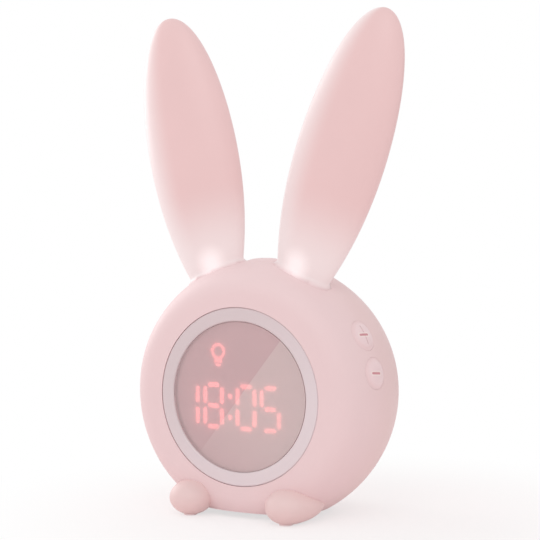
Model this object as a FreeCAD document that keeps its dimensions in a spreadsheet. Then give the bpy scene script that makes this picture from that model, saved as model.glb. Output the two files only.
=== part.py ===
import FreeCAD, Part
import math
import os
import re

import Sketcher
from FreeCAD import Matrix, Placement, Rotation, Vector

# Children's alarm clock with a night light: a rounded drum with two lit rabbit ears and two feet.
# Millimetres, +Z up, the face looks along -Y. The origin lies on the table, under the middle.
# Places in the sheet are measured from the middle of the drum's widest circle.

SIZES = {
    # Drum
    "body_radius": 65.0,
    "front_depth": 26.8,
    "rear_depth": 47.0,
    "front_side_radius": 46.69,
    "front_corner_radius": 12.8,
    "rear_side_radius": 72.4,
    "rear_corner_radius": 18.2,
    "centre_height": 59.0,
    "base_drop": 56.0,
    "wall": 2.4,
    "seam_back": 40.5,
    "fit_gap": 0.15,
    "button_gap": 0.3,
    # Screws and posts
    "pilot_radius": 1.2,
    "shank_radius": 1.15,
    "clear_radius": 1.5,
    "head_radius": 2.7,
    "head_height": 1.8,
    "shank_length": 7.0,
    "post_radius": 3.0,
    # Rear cover
    "lip_depth": 3.5,
    "lip_radius": 48.9,
    "lip_wall": 1.8,
    "cover_screw_x": 37.7,
    "cover_screw_z": 21.75,
    "cover_boss_radius": 4.4,
    "cover_head_seat": 41.5,
    "cover_post_length": 14.0,
    "rib_width": 2.6,
    # Speaker
    "speaker_z": 9.0,
    "speaker_radius": 20.0,
    "speaker_gasket": 1.0,
    "speaker_flange": 1.6,
    "basket_depth": 8.5,
    "basket_back_radius": 12.5,
    "magnet_radius": 12.0,
    "magnet_depth": 6.0,
    "sheet_metal": 0.8,
    "surround_wall": 2.2,
    "speaker_screw_ring": 23.0,
    "grille_hole_radius": 1.0,
    "grille_pitch": 3.6,
    # Bezel ring and lens
    "ring_radius": 43.1,
    "ring_width": 6.7,
    "ring_depth": 1.4,
    "ring_chamfer": 0.5,
    "lens_inset": 0.3,
    "lens_recess": 0.4,
    "lens_rim_reach": 3.2,
    "lens_rim": 1.5,
    "lens_rim_gap": 0.4,
    "gasket_depth": 0.8,
    "gasket_reach": 0.4,
    # Display module
    "mask_inset": 0.2,
    "mask_front": 23.5,
    "mask_depth": 5.5,
    "board_thickness": 1.6,
    "carrier_reach": 5.1,
    "carrier_floor": 2.0,
    "carrier_post_reach": 8.9,
    "carrier_ear_radius": 5.0,
    "guide_gap": 0.05,
    "led_height": 0.7,
    "led_width": 1.6,
    "digit_middle": -5.4,
    "digit_rise": 10.2,
    "digit_half_width": 4.7,
    "segment_width": 2.1,
    "segment_length": 8.0,
    "segment_across": 6.2,
    "one_x": -24.6,
    "eight_x": -15.6,
    "colon_x": -6.3,
    "zero_x": 2.5,
    "five_x": 15.8,
    "lamp_x": -13.0,
    "lamp_z": 21.2,
    "lamp_radius": 3.9,
    "lamp_line": 1.35,
    "lamp_shoulder_drop": 2.2,
    "lamp_shoulder_width": 6.2,
    "lamp_block_drop": 3.3,
    "lamp_block_end": 5.5,
    "lamp_block_width": 3.9,
    "lamp_stem_width": 1.1,
    "lamp_stem_end": 2.8,
    "lamp_tip_drop": 6.1,
    "lamp_tip_end": 7.1,
    "lamp_tip_width": 2.8,
    "lamp_web": 1.2,
    # Main board, battery
    "main_board_top": 29.2,
    "main_board_half_width": 28.0,
    "main_board_front": -9.5,
    "main_board_back": 41.5,
    "board_post_x": 24.0,
    "board_post_front": -5.5,
    "board_post_back": 30.0,
    "cell_radius": 9.1,
    "cell_length": 65.0,
    "cell_y": 8.0,
    "cell_drop": 42.2,
    "cradle_half_length": 20.0,
    "cradle_wall": 1.9,
    "strap_width": 9.0,
    "strap_thickness": 1.1,
    # Socket and switch at the back
    "socket_x": -12.0,
    "socket_width": 9.0,
    "socket_height": 3.2,
    "socket_length": 7.8,
    "socket_sheet": 0.35,
    "socket_mouth_extra": 0.6,
    "socket_recess_extra": 3.0,
    "socket_recess": 0.8,
    "switch_x": 12.0,
    "switch_length": 10.0,
    "switch_height": 4.6,
    "switch_depth": 4.4,
    "knob_width": 4.6,
    "knob_height": 3.4,
    "knob_thickness": 0.9,
    "knob_stem": 2.2,
    "knob_travel": 3.0,
    "knob_recess": 1.2,
    # Side buttons
    "side_button_y": 6.6,
    "plus_angle": 28.4,
    "minus_angle": 11.6,
    "side_button_radius": 7.5,
    "side_button_rise": 1.3,
    "side_dome_radius": 30.0,
    "side_travel": 1.0,
    "sign_length": 6.4,
    "sign_width": 1.3,
    "sign_depth": 0.4,
    "flange_extra": 0.8,
    "flange_thickness": 0.9,
    "side_flange_depth": 3.7,
    "stem_radius": 2.2,
    "side_stem_end": 7.5,
    "plunger_radius": 1.7,
    "plunger_length": 0.8,
    "press_reserve": 0.2,
    "tact_width": 6.0,
    "tact_height": 3.5,
    "side_board_half_length": 13.6,
    "side_board_half_width": 6.0,
    "side_post_offset": 11.0,
    "side_post_radius": 2.2,
    # Top button
    "top_button_radius": 9.0,
    "top_button_rise": 0.7,
    "top_travel": 1.2,
    "top_flange_drop": 4.2,
    "top_flange_extra": 1.6,
    "top_stem_drop": 8.5,
    "top_board_half_width": 8.0,
    "top_post_offset": 14.0,
    "top_post_radius": 2.4,
    # Ears
    "ear_base_x": 22.45,
    "ear_base_y": -6.81,
    "ear_base_z": 52.0,
    "ear_tip_x": 61.28,
    "ear_tip_y": 7.77,
    "ear_tip_z": 185.5,
    "ear_toe": 0.067,
    "ear_base_half_width": 12.2,
    "ear_half_width": 24.3,
    "ear_thickness_share": 0.45,
    "ear_wall": 2.0,
    "ear_floor": 2.2,
    "spigot_radius": 5.0,
    "spigot_bore": 3.4,
    "spigot_end": -1.0,
    "spigot_root": 10.0,
    "clip_start": 0.8,
    "clip_thickness": 1.4,
    "clip_radius": 8.5,
    "groove_radius": 4.4,
    "ear_led_radius": 2.4,
    "ear_led_length": 5.0,
    # Feet
    "foot_x": 26.5,
    "foot_y": 26.5,
    "foot_drop": 50.6,
    "foot_half_width": 10.7,
    "foot_half_height": 8.4,
    "foot_front": 10.5,
    "foot_back": 21.0,
    "foot_splay": 24.0,
    "foot_flat": 0.6,
    "foot_peg_x": 25.0,
    "foot_peg_drop": 46.0,
    "foot_peg_radius": 2.4,
    "foot_peg_start": 31.0,
    "foot_peg_end": 20.5,
    "foot_pad_radius": 3.2,
    "rear_pad_radius": 5.0,
    "rear_pad_x": 16.0,
    "rear_pad_y": 22.0,
    "pad_recess": 0.6,
    # Internal leads
    "lead_radius": 0.75,
    "lead_straight": 5.0,
    "top_lead_x": 5.0,
    "top_lead_y": 8.0,
    "top_lead_straight": 9.0,
    "battery_lead_rise": 6.0,
    "speaker_lead_x": 5.0,
    "speaker_lead_z": -9.8,
    "speaker_lead_straight": 8.0,
    "ribbon_drop": 10.0,
    "ribbon_bend_y": -5.0,
    "ribbon_width": 10.0,
    "ribbon_thickness": 0.8,
}

doc = FreeCAD.newDocument("rabbit_night_light_clock")
sheet = doc.addObject("Spreadsheet::Sheet", "dims")
for row, (alias, value) in enumerate(SIZES.items(), start=1):
    sheet.set(f"A{row}", alias)
    sheet.set(f"B{row}", str(value))
    sheet.setAlias(f"B{row}", alias)
doc.recompute()

FUNCTIONS = {"sin", "cos", "sqrt", "asin"}
# Sizes that follow from others of the sheet.
FOLLOWS = {
    "ring_bore": "(ring_radius - ring_width)",
    "lens_radius": "(ring_bore - lens_inset)",
    "lens_rim_radius": "(ring_bore + lens_rim_reach)",
    "lens_opening": "(lens_rim_radius + lens_rim_gap)",
    "gasket_bore": "(ring_bore + gasket_reach)",
    "mask_radius": "(ring_bore - mask_inset)",
    "carrier_radius": "(ring_bore + carrier_reach)",
    "carrier_post_ring": "(ring_bore + carrier_post_reach)",
    "top_flange_top": "(body_radius - top_flange_drop)",
    "top_stem_end": "(body_radius - top_stem_drop)",
}
pieces = {}


def spelled(match):
    """A name of an expression as an alias of the sheet, or spelled out when it follows from others."""
    name = match[0]
    if name in FOLLOWS:
        return full(FOLLOWS[name])
    return name if name in FUNCTIONS else f"dims.{name}"


def full(text):
    """Write the sheet's name before each alias of an expression."""
    return re.sub(r"[a-z][a-z_]*", spelled, str(text))


def size(text):
    """The value of an expression in millimetres or degrees."""
    return float(sheet.evalExpression(full(text)))


def bind(thing, prop, text):
    """Tie one property to an expression of the sheet."""
    thing.setExpression(prop, full(text))


# The drum's middle lies behind the origin by this much, which centres the clock front to back.
CENTRE_Y = "(foot_y + foot_front - rear_depth) / 2"
CENTRE_Z = "centre_height"


def centre():
    """The middle of the drum in the clock's own frame."""
    return Vector(0, size(CENTRE_Y), size(CENTRE_Z))


def place(thing, x="0", y="0", z="0"):
    """Put a thing at a place measured from the middle of the drum."""
    bind(thing, "Placement.Base.x", x)
    bind(thing, "Placement.Base.y", f"{y} + {CENTRE_Y}")
    bind(thing, "Placement.Base.z", f"{z} + {CENTRE_Z}")
    return thing


TURNS = {
    "x": Rotation(Vector(0, 1, 0), 90),
    "y": Rotation(Vector(1, 0, 0), -90),
    "z": Rotation(),
}


def cylinder(radius, length, x="0", y="0", z="0", along="y"):
    """A cylinder that starts at the place and runs along one axis."""
    thing = doc.addObject("Part::Cylinder", "cylinder")
    bind(thing, "Radius", radius)
    bind(thing, "Height", length)
    thing.Placement = Placement(Vector(), TURNS[along])
    return place(thing, x, y, z)


def box(length, width, height, x="0", y="0", z="0"):
    """A box with its middle at the place."""
    thing = doc.addObject("Part::Box", "box")
    bind(thing, "Length", length)
    bind(thing, "Width", width)
    bind(thing, "Height", height)
    return place(thing, f"({x}) - ({length}) / 2", f"({y}) - ({width}) / 2", f"({z}) - ({height}) / 2")


def fuse(*things):
    """Join things into one."""
    if len(things) == 1:
        return things[0]
    thing = doc.addObject("Part::MultiFuse", "joined")
    thing.Shapes = list(things)
    return thing


def group(*things):
    """Keep things that do not touch together as separate solids."""
    thing = doc.addObject("Part::Compound", "group")
    thing.Links = list(things)
    return thing


def cut(base, *tools):
    """Take the tools away from the base."""
    thing = doc.addObject("Part::Cut", "trimmed")
    thing.Base = base
    thing.Tool = fuse(*tools)
    return thing


def common(first, second):
    """What two things share."""
    thing = doc.addObject("Part::Common", "shared")
    thing.Base = first
    thing.Tool = second
    return thing


def solid(shape, placement=None):
    """A shape worked out in code, measured from the middle of the drum."""
    thing = doc.addObject("Part::Feature", "shape")
    thing.Shape = shape
    thing.Placement = Placement(centre(), Rotation()) * (placement or Placement())
    return thing


def keep(label, thing):
    """Name a finished piece of the clock."""
    thing.Label = label
    pieces[label] = thing
    return thing


def barrel(name, inset):
    """The drum's form, set in from the outer surface: a turned profile of four tangent arcs."""
    body = doc.addObject("PartDesign::Body", name)
    sketch = body.newObject("Sketcher::SketchObject", f"{name}_profile")
    plane = [item for item in body.Origin.OriginFeatures if item.Role == "YZ_Plane"][0]
    sketch.AttachmentSupport = [(plane, "")]
    sketch.MapMode = "FlatFace"
    names = {
        "radius": f"body_radius - ({inset})",
        "front": f"front_depth - ({inset})",
        "back": f"rear_depth - ({inset})",
        "corner": f"front_corner_radius - ({inset})",
        "side": f"front_side_radius - ({inset})",
        "rear_side": f"rear_side_radius - ({inset})",
        "rear_corner": f"rear_corner_radius - ({inset})",
    }
    value = {key: size(text) for key, text in names.items()}

    def arc_frame(depth, side, corner):
        """Angle of the side arc, and the corner arc's middle."""
        turn = math.asin((depth - corner) / (side - corner))
        middle = Vector(depth - corner, value["radius"] - side + (side - corner) * math.cos(turn), 0)
        return turn, middle

    turn, corner = arc_frame(value["front"], value["side"], value["corner"])
    rear_turn, rear_corner = arc_frame(value["back"], value["rear_side"], value["rear_corner"])
    corner.x = -corner.x
    side_middle = Vector(0, value["radius"] - value["side"], 0)
    rear_middle = Vector(0, value["radius"] - value["rear_side"], 0)
    quarter = math.pi / 2
    up = Vector(0, 0, 1)

    def arc(middle, radius, start, end):
        return Part.ArcOfCircle(Part.Circle(middle, up, radius), start, end)

    front_foot = Vector(-value["front"], 0, 0)
    front_top = Vector(-value["front"], corner.y, 0)
    back_foot = Vector(value["back"], 0, 0)
    back_top = Vector(value["back"], rear_corner.y, 0)
    front_face = sketch.addGeometry(Part.LineSegment(front_foot, front_top), False)
    front_arc = sketch.addGeometry(arc(corner, value["corner"], quarter + turn, 2 * quarter), False)
    side_arc = sketch.addGeometry(arc(side_middle, value["side"], quarter, quarter + turn), False)
    rear_arc = sketch.addGeometry(arc(rear_middle, value["rear_side"], quarter - rear_turn, quarter), False)
    back_arc = sketch.addGeometry(arc(rear_corner, value["rear_corner"], 0, quarter - rear_turn), False)
    back_face = sketch.addGeometry(Part.LineSegment(back_top, back_foot), False)
    axis = sketch.addGeometry(Part.LineSegment(back_foot, front_foot), False)

    joints = [
        ("Tangent", front_face, 2, front_arc, 2),
        ("Tangent", front_arc, 1, side_arc, 2),
        ("Tangent", side_arc, 1, rear_arc, 2),
        ("Tangent", rear_arc, 1, back_arc, 2),
        ("Tangent", back_arc, 1, back_face, 1),
        ("Coincident", back_face, 2, axis, 1),
        ("Coincident", axis, 2, front_face, 1),
        ("PointOnObject", axis, 1, -1),
        ("PointOnObject", axis, 2, -1),
        ("Vertical", front_face),
        ("Vertical", back_face),
        ("PointOnObject", side_arc, 3, -2),
        ("PointOnObject", side_arc, 1, -2),
    ]
    for joint in joints:
        sketch.addConstraint(Sketcher.Constraint(*joint))

    def measure(label, text, *where):
        index = sketch.addConstraint(Sketcher.Constraint(*where, size(text)))
        sketch.renameConstraint(index, label)
        sketch.setExpression(f"Constraints.{label}", full(text))

    measure("reach", names["radius"], "DistanceY", side_arc, 1)
    measure("front_reach", f"-({names['front']})", "DistanceX", front_face, 1)
    measure("back_reach", names["back"], "DistanceX", back_face, 2)
    measure("corner_round", names["corner"], "Radius", front_arc)
    measure("side_round", names["side"], "Radius", side_arc)
    measure("rear_side_round", names["rear_side"], "Radius", rear_arc)
    measure("rear_corner_round", names["rear_corner"], "Radius", back_arc)
    turned = body.newObject("PartDesign::Revolution", f"{name}_turn")
    turned.Profile = sketch
    turned.ReferenceAxis = (sketch, ["H_Axis"])
    turned.Angle = 360
    return place(body)


def turned_ring(name, outline):
    """A ring turned about the drum's axis from corners given as (front to back, radius)."""
    body = doc.addObject("PartDesign::Body", name)
    sketch = body.newObject("Sketcher::SketchObject", f"{name}_profile")
    plane = [item for item in body.Origin.OriginFeatures if item.Role == "YZ_Plane"][0]
    sketch.AttachmentSupport = [(plane, "")]
    sketch.MapMode = "FlatFace"
    corners = [Vector(size(along), size(radius), 0) for along, radius in outline]
    count = len(corners)
    for index, corner in enumerate(corners):
        sketch.addGeometry(Part.LineSegment(corner, corners[(index + 1) % count]), False)
    for index in range(count):
        sketch.addConstraint(Sketcher.Constraint("Coincident", index, 2, (index + 1) % count, 1))
    for index, (along, radius) in enumerate(outline):
        for axis, text in (("DistanceX", along), ("DistanceY", radius)):
            where = sketch.addConstraint(Sketcher.Constraint(axis, index, 1, size(text)))
            label = f"{axis}_{index}"
            sketch.renameConstraint(where, label)
            sketch.setExpression(f"Constraints.{label}", full(text))
    turned = body.newObject("PartDesign::Revolution", f"{name}_turn")
    turned.Profile = sketch
    turned.ReferenceAxis = (sketch, ["H_Axis"])
    turned.Angle = 360
    return place(body)


def screw_along_y(x, z, seat, toward="back"):
    """A pan-head screw whose head sits on the seat and whose shank runs towards the front."""
    head_start = seat if toward == "front" else f"{seat} - head_height"
    shank_start = f"{seat} - shank_length" if toward == "front" else seat
    head = cylinder("head_radius", "head_height", x, head_start, z)
    shank = cylinder("shank_radius", "shank_length", x, shank_start, z)
    return fuse(head, shank)


outer_form = barrel("outer_form", "0")
inner_form = barrel("inner_form", "wall")
middle_form = barrel("middle_form", "wall / 2")
doc.recompute()


def below(level):
    """Everything under a level, for the flat base."""
    return box("3 * body_radius", "3 * body_radius", "body_radius", z=f"-({level}) - body_radius / 2")


outer_block = cut(outer_form, below("base_drop"))
cavity = cut(inner_form, below("base_drop - wall"))
middle_block = cut(middle_form, below("base_drop - wall / 2"))

FRONT_INNER = "-(front_depth - wall)"
CARRIER_BACK = "(mask_depth - mask_front + board_thickness + carrier_floor)"
CARRIER_SEAT = "(mask_depth - mask_front + board_thickness)"
RING_BACK = "(ring_depth - front_depth)"
RING_SPOTS = [45, 135, 225, 315]


def on_circle(radius, degrees):
    """Expressions of the x and z of a point on a circle round the drum's axis."""
    return f"({radius}) * cos({degrees})", f"({radius}) * sin({degrees})"


# The tilted frames of the side buttons: their own Z points out of the drum's side.
def button_frame(angle):
    """Frame on the drum's surface whose Z is the surface's outward direction there."""
    side = size("front_side_radius")
    setback = size("side_button_y")
    lean = math.asin(setback / side)
    turn = math.radians(size(angle))
    reach = size("body_radius") - side + side * math.cos(lean)
    spot = Vector(reach * math.cos(turn), -setback, reach * math.sin(turn))
    out = Vector(math.cos(turn) * math.cos(lean), -math.sin(lean), math.sin(turn) * math.cos(lean))
    level = Vector(0, 0, 1).cross(out).normalize()
    return Placement(spot, Rotation(level, out.cross(level), out, "ZXY"))


def ear_frame():
    """Frame of the right ear: Z along the ear, X across it, Y to its back."""
    base = Vector(size("ear_base_x"), size("ear_base_y"), size("ear_base_z"))
    tip = Vector(size("ear_tip_x"), size("ear_tip_y"), size("ear_tip_z"))
    along = (tip - base).normalize()
    back = Vector(size("ear_toe"), 1, 0)
    back = (back - along * back.dot(along)).normalize()
    return Placement(base, Rotation(back.cross(along), back, along, "ZXY")), (tip - base).Length


FRAMES = {"plus": button_frame("plus_angle"), "minus": button_frame("minus_angle")}
EAR_FRAME, EAR_LENGTH = ear_frame()


def rod(frame, radius, start, end, x=0.0, y=0.0):
    """A round rod along the Z of a tilted frame, from one height to another."""
    thing = doc.addObject("Part::Cylinder", "rod")
    bind(thing, "Radius", radius)
    bind(thing, "Height", f"({end}) - ({start})")
    spot = Placement(Vector(x, y, size(start)), Rotation())
    thing.Placement = Placement(centre(), Rotation()) * frame * spot
    return thing


def block(frame, length, width, start, end, y=0.0):
    """A box across the Z of a tilted frame, from one height to another."""
    thing = doc.addObject("Part::Box", "block")
    bind(thing, "Length", length)
    bind(thing, "Width", width)
    bind(thing, "Height", f"({end}) - ({start})")
    corner = Vector(-size(length) / 2, y - size(width) / 2, size(start))
    thing.Placement = Placement(centre(), Rotation()) * frame * Placement(corner, Rotation())
    return thing


def mirrored(thing):
    """The same thing on the other side of the clock."""
    shape = thing.Shape.copy()
    return shape.mirror(Vector(0, 0, 0), Vector(1, 0, 0))


def left_twin(label, thing):
    """A left-hand piece made as the mirror image of the right-hand one."""
    doc.recompute()
    twin = doc.addObject("Part::Feature", "twin")
    twin.Shape = mirrored(thing)
    return keep(label, twin)


# Levels along a side button's own axis
SIDE_SWITCH_TOP = "-(side_stem_end + plunger_length + side_travel + press_reserve)"
SIDE_BOARD_TOP = f"{SIDE_SWITCH_TOP} - tact_height"
SIDE_BOARD_BACK = f"{SIDE_BOARD_TOP} - board_thickness"
TOP_SWITCH_TOP = "top_stem_end - plunger_length - top_travel - press_reserve"
TOP_BOARD_TOP = f"({TOP_SWITCH_TOP} - tact_height)"
SPEAKER_SEAT = "(rear_depth - wall)"
FLANGE_BACK = f"({SPEAKER_SEAT} - speaker_gasket - speaker_flange)"
LIP_START = "(seam_back - lip_depth)"
COVER_POST_END = f"({LIP_START} - fit_gap)"
SOCKET_END = "(rear_depth - wall + 0.6)"
SOCKET_Z = "(socket_height / 2 - main_board_top)"
SWITCH_Z = "(switch_height / 2 - main_board_top)"
SWITCH_BACK = "(rear_depth - wall - 1.3)"
KNOB_Y = "(rear_depth - knob_recess + press_reserve)"
KNOB_X = "(switch_x - knob_travel / 2)"
PAD_BOTTOM = "-centre_height"


def shell_posts():
    """Screw posts and ribs that grow from the inside of the shell's wall."""
    posts = []
    for spot in RING_SPOTS:
        x, z = on_circle("carrier_post_ring", spot)
        start = f"({RING_BACK} + fit_gap)"
        posts.append(cylinder("post_radius", f"{CARRIER_SEAT} - {start}", x, start, z))
    for sign in ("1", "-1"):
        for y in ("board_post_front", "board_post_back"):
            height = "base_drop - main_board_top - board_thickness"
            posts.append(cylinder("post_radius", height, f"{sign} * board_post_x", y, "-base_drop", "z"))
    for sign in ("1", "-1"):
        height = f"body_radius - {TOP_BOARD_TOP}"
        posts.append(cylinder("top_post_radius", height, "0", f"{sign} * top_post_offset", TOP_BOARD_TOP, "z"))
    for frame in FRAMES.values():
        for sign in (1, -1):
            offset = sign * size("side_post_offset")
            posts.append(rod(frame, "side_post_radius", SIDE_BOARD_TOP, "0", x=offset))
    for x_sign in ("1", "-1"):
        for z_sign in ("1", "-1"):
            x = f"{x_sign} * cover_screw_x"
            z = f"{z_sign} * cover_screw_z"
            start = f"{COVER_POST_END} - cover_post_length"
            posts.append(cylinder("post_radius", "cover_post_length", x, start, z))
            rib_x = f"{x_sign} * (cover_screw_x + 10)"
            rib_y = f"{COVER_POST_END} - cover_post_length / 2"
            posts.append(box("20", "cover_post_length", "rib_width", rib_x, rib_y, z))
    return common(fuse(*posts), middle_block)


def shell_holes():
    """Openings and pilot holes of the shell."""
    holes = [
        cylinder("lens_opening", "front_depth", y="-front_depth"),
        cylinder("ring_radius + fit_gap", "ring_depth", y="-front_depth"),
        cylinder("top_button_radius + button_gap", "body_radius", z="top_flange_top", along="z"),
    ]
    for frame in FRAMES.values():
        holes.append(rod(frame, "side_button_radius + button_gap", "-side_flange_depth", "10"))
    for sign in ("1", "-1"):
        peg_x = f"{sign} * foot_peg_x"
        holes.append(cylinder("foot_peg_radius + fit_gap", "20", peg_x, "-front_depth - 5", "-foot_peg_drop"))
        pad_x = f"{sign} * rear_pad_x"
        holes.append(cylinder("rear_pad_radius + fit_gap", "pad_recess", pad_x, "rear_pad_y", "-base_drop", "z"))
    return holes


def pilot_holes():
    """Screw pilots in the shell's posts."""
    holes = []
    for spot in RING_SPOTS:
        x, z = on_circle("carrier_post_ring", spot)
        holes.append(cylinder("pilot_radius", "shank_length", x, f"{CARRIER_SEAT} - 6", z))
    for sign in ("1", "-1"):
        for y in ("board_post_front", "board_post_back"):
            bottom = "-main_board_top - shank_length - 1"
            holes.append(cylinder("pilot_radius", "shank_length", f"{sign} * board_post_x", y, bottom, "z"))
        top_y = f"{sign} * top_post_offset"
        holes.append(cylinder("pilot_radius", "shank_length", "0", top_y, TOP_BOARD_TOP, "z"))
        for z_sign in ("1", "-1"):
            x = f"{sign} * cover_screw_x"
            z = f"{z_sign} * cover_screw_z"
            holes.append(cylinder("pilot_radius", "shank_length", x, f"{COVER_POST_END} - shank_length", z))
    for frame in FRAMES.values():
        for sign in (1, -1):
            offset = sign * size("side_post_offset")
            depth = f"{SIDE_BOARD_TOP} + shank_length"
            holes.append(rod(frame, "pilot_radius", SIDE_BOARD_TOP, depth, x=offset))
    return holes


def ear_sockets():
    """Round holes through the shell for the ears' spigots."""
    right = rod(EAR_FRAME, "spigot_radius + fit_gap", "0", "16")
    doc.recompute()
    left = doc.addObject("Part::Feature", "left_socket")
    left.Shape = mirrored(right)
    return [right, left]


def behind(level):
    """Everything behind a level."""
    return box("3 * body_radius", "body_radius", "3 * body_radius", y=f"{level} + body_radius / 2")


def in_front(level):
    """Everything in front of a level."""
    return box("3 * body_radius", "3 * body_radius", "3 * body_radius", y=f"{level} - 1.5 * body_radius")


def body_shell():
    """Moulded drum: front, side and flat base in one, with its screw posts."""
    skin = cut(cut(outer_block, behind("seam_back")), cavity, *shell_holes(), *ear_sockets())
    return keep("body_shell", cut(fuse(skin, shell_posts()), *pilot_holes()))


def rear_cover():
    """Dished rear cover with a locating lip, bosses, a sound grille and openings for socket and switch."""
    dish = cut(cut(outer_block, in_front("seam_back")), cavity)
    lip = turned_ring("cover_lip", [
        (LIP_START, "lip_radius - lip_wall"),
        (LIP_START, "lip_radius"),
        ("seam_back", "lip_radius"),
        ("seam_back + wall", "lip_radius - wall"),
        ("seam_back + wall", "lip_radius - wall - lip_wall"),
    ])
    bosses = []
    holes = []
    for x_sign in ("1", "-1"):
        for z_sign in ("1", "-1"):
            x = f"{x_sign} * cover_screw_x"
            z = f"{z_sign} * cover_screw_z"
            bosses.append(cylinder("cover_boss_radius", f"rear_depth - {LIP_START}", x, LIP_START, z))
            holes.append(cylinder("clear_radius", "rear_depth", x, LIP_START, z))
            holes.append(cylinder("head_radius + fit_gap", "rear_depth", x, "cover_head_seat", z))
    for spot in RING_SPOTS:
        x, z = on_circle("speaker_screw_ring", spot)
        post_z = f"speaker_z + {z}"
        post = cylinder("post_radius - 0.2", f"{SPEAKER_SEAT} - {FLANGE_BACK} + wall / 2", x, FLANGE_BACK, post_z)
        bosses.append(post)
        holes.append(cylinder("pilot_radius", f"{SPEAKER_SEAT} - {FLANGE_BACK} + 1", x, FLANGE_BACK, post_z))
    holes.append(cylinder("grille_hole_radius", "2 * wall", "0", "rear_depth - 1.5 * wall", "speaker_z"))
    for ring in (1, 2, 3, 4):
        for step in range(6 * ring):
            x, z = on_circle(f"{ring} * grille_pitch", 60.0 * step / ring)
            hole = cylinder("grille_hole_radius", "2 * wall", x, "rear_depth - 1.5 * wall", f"speaker_z + {z}")
            holes.append(hole)
    mouth = "rear_depth - wall / 2"
    for extra, depth, middle in (("mouth_extra", "2 * wall", mouth), ("recess_extra", "2 * socket_recess", "rear_depth")):
        holes.append(box(f"socket_width + socket_{extra}", depth, f"socket_height + socket_{extra}",
                         "socket_x", middle, SOCKET_Z))
    slot = "knob_stem + knob_travel + 2 * button_gap"
    holes.append(box(slot, "2 * wall", "knob_stem + 2 * button_gap", "switch_x", mouth, SWITCH_Z))
    recess = "knob_width + knob_travel + 3 * button_gap"
    recess_height = "knob_height + 2 * button_gap"
    holes.append(box(recess, "2 * knob_recess", recess_height, "switch_x", "rear_depth", SWITCH_Z))
    inside = common(fuse(*bosses), outer_block)
    return keep("rear_cover", cut(fuse(dish, lip, inside), *holes))


body_shell()
rear_cover()
screws = []
for x_sign in ("1", "-1"):
    for z_sign in ("1", "-1"):
        x = f"{x_sign} * cover_screw_x"
        z = f"{z_sign} * cover_screw_z"
        screws.append(screw_along_y(x, z, "cover_head_seat", "front"))
keep("cover_screws", group(*screws))

# Bezel ring, lens and gasket
keep("bezel_ring", turned_ring("bezel_ring_body", [
    ("-front_depth", "ring_bore + ring_chamfer"),
    ("-front_depth", "ring_radius - ring_chamfer"),
    ("ring_chamfer - front_depth", "ring_radius"),
    (RING_BACK, "ring_radius"),
    (RING_BACK, "ring_bore"),
    ("ring_chamfer - front_depth", "ring_bore"),
]))
LENS_RIM_FRONT = f"({RING_BACK} + guide_gap)"
LENS_BACK = f"({LENS_RIM_FRONT} + lens_rim)"
lens_face = cylinder("lens_radius", f"lens_rim + {LENS_RIM_FRONT} + front_depth - lens_recess",
                     y="lens_recess - front_depth")
keep("display_lens", fuse(lens_face, cylinder("lens_rim_radius", "lens_rim", y=LENS_RIM_FRONT)))
gasket = cylinder("lens_rim_radius", "gasket_depth", y=LENS_BACK)
keep("lens_gasket", cut(gasket, cylinder("gasket_bore", "gasket_depth", y=LENS_BACK)))


# Display: a mask with one window for each segment, and a light guide in each window
def bar(x, z, upright, spread):
    """A round-ended bar across the display, at the mask's depth."""
    length = size("segment_length") if upright else size("segment_across")
    half = length / 2 - size("segment_width") / 2
    radius = size("segment_width") / 2 + spread
    front = -size("mask_front")
    along = Vector(0, 0, 1) if upright else Vector(1, 0, 0)
    across = Vector(1, 0, 0) if upright else Vector(0, 0, 1)
    middle = Vector(x, front, z)
    corners = [middle + along * (half * a) + across * (radius * b) for a, b in ((-1, -1), (1, -1), (1, 1), (-1, 1))]
    edges = [
        Part.makeLine(corners[0], corners[1]),
        Part.Arc(corners[1], middle + along * (half + radius), corners[2]).toShape(),
        Part.makeLine(corners[2], corners[3]),
        Part.Arc(corners[3], middle - along * (half + radius), corners[0]).toShape(),
    ]
    return Part.Face(Part.Wire(edges))


def dot(x, z, radius):
    """A round window."""
    circle = Part.makeCircle(radius, Vector(x, -size("mask_front"), z), Vector(0, 1, 0))
    return Part.Face(Part.Wire([circle]))


SEGMENTS = {
    "top": (0, 1, False),
    "middle": (0, 0, False),
    "bottom": (0, -1, False),
    "upper_left": (-1, 0.5, True),
    "upper_right": (1, 0.5, True),
    "lower_left": (-1, -0.5, True),
    "lower_right": (1, -0.5, True),
}
LIT = {
    "eight_x": ["top", "middle", "bottom", "upper_left", "upper_right", "lower_left", "lower_right"],
    "zero_x": ["top", "bottom", "upper_left", "upper_right", "lower_left", "lower_right"],
    "five_x": ["top", "middle", "bottom", "upper_left", "lower_right"],
}


def segment(digit_x, name, spread):
    """One segment of an upright digit."""
    across, up, upright = SEGMENTS[name]
    return bar(digit_x + across * size("digit_half_width"), size("digit_middle") + up * size("digit_rise"),
               upright, spread)


def lit_windows(spread):
    """Faces of the windows that glow at 18:05."""
    faces = []
    for digit, lit in LIT.items():
        faces += [segment(size(digit), name, spread) for name in lit]
    for up in (0.5, -0.5):
        height = size("digit_middle") + up * size("digit_rise")
        faces.append(bar(size("one_x"), height, True, spread))
        faces.append(dot(size("colon_x"), height, size("segment_width") * 0.6 + spread))
    return faces


def dark_windows(spread):
    """Faces of the windows that stay dark at 18:05."""
    faces = []
    for digit, lit in LIT.items():
        faces += [segment(size(digit), name, spread) for name in SEGMENTS if name not in lit]
    return faces


def flat(x, low, high, low_half, high_half):
    """An upright trapezium across the display, at the mask's depth."""
    front = -size("mask_front")
    corners = [(-low_half, low), (low_half, low), (high_half, high), (-high_half, high), (-low_half, low)]
    return Part.Face(Part.makePolygon([Vector(x + half, front, z) for half, z in corners]))


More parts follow.
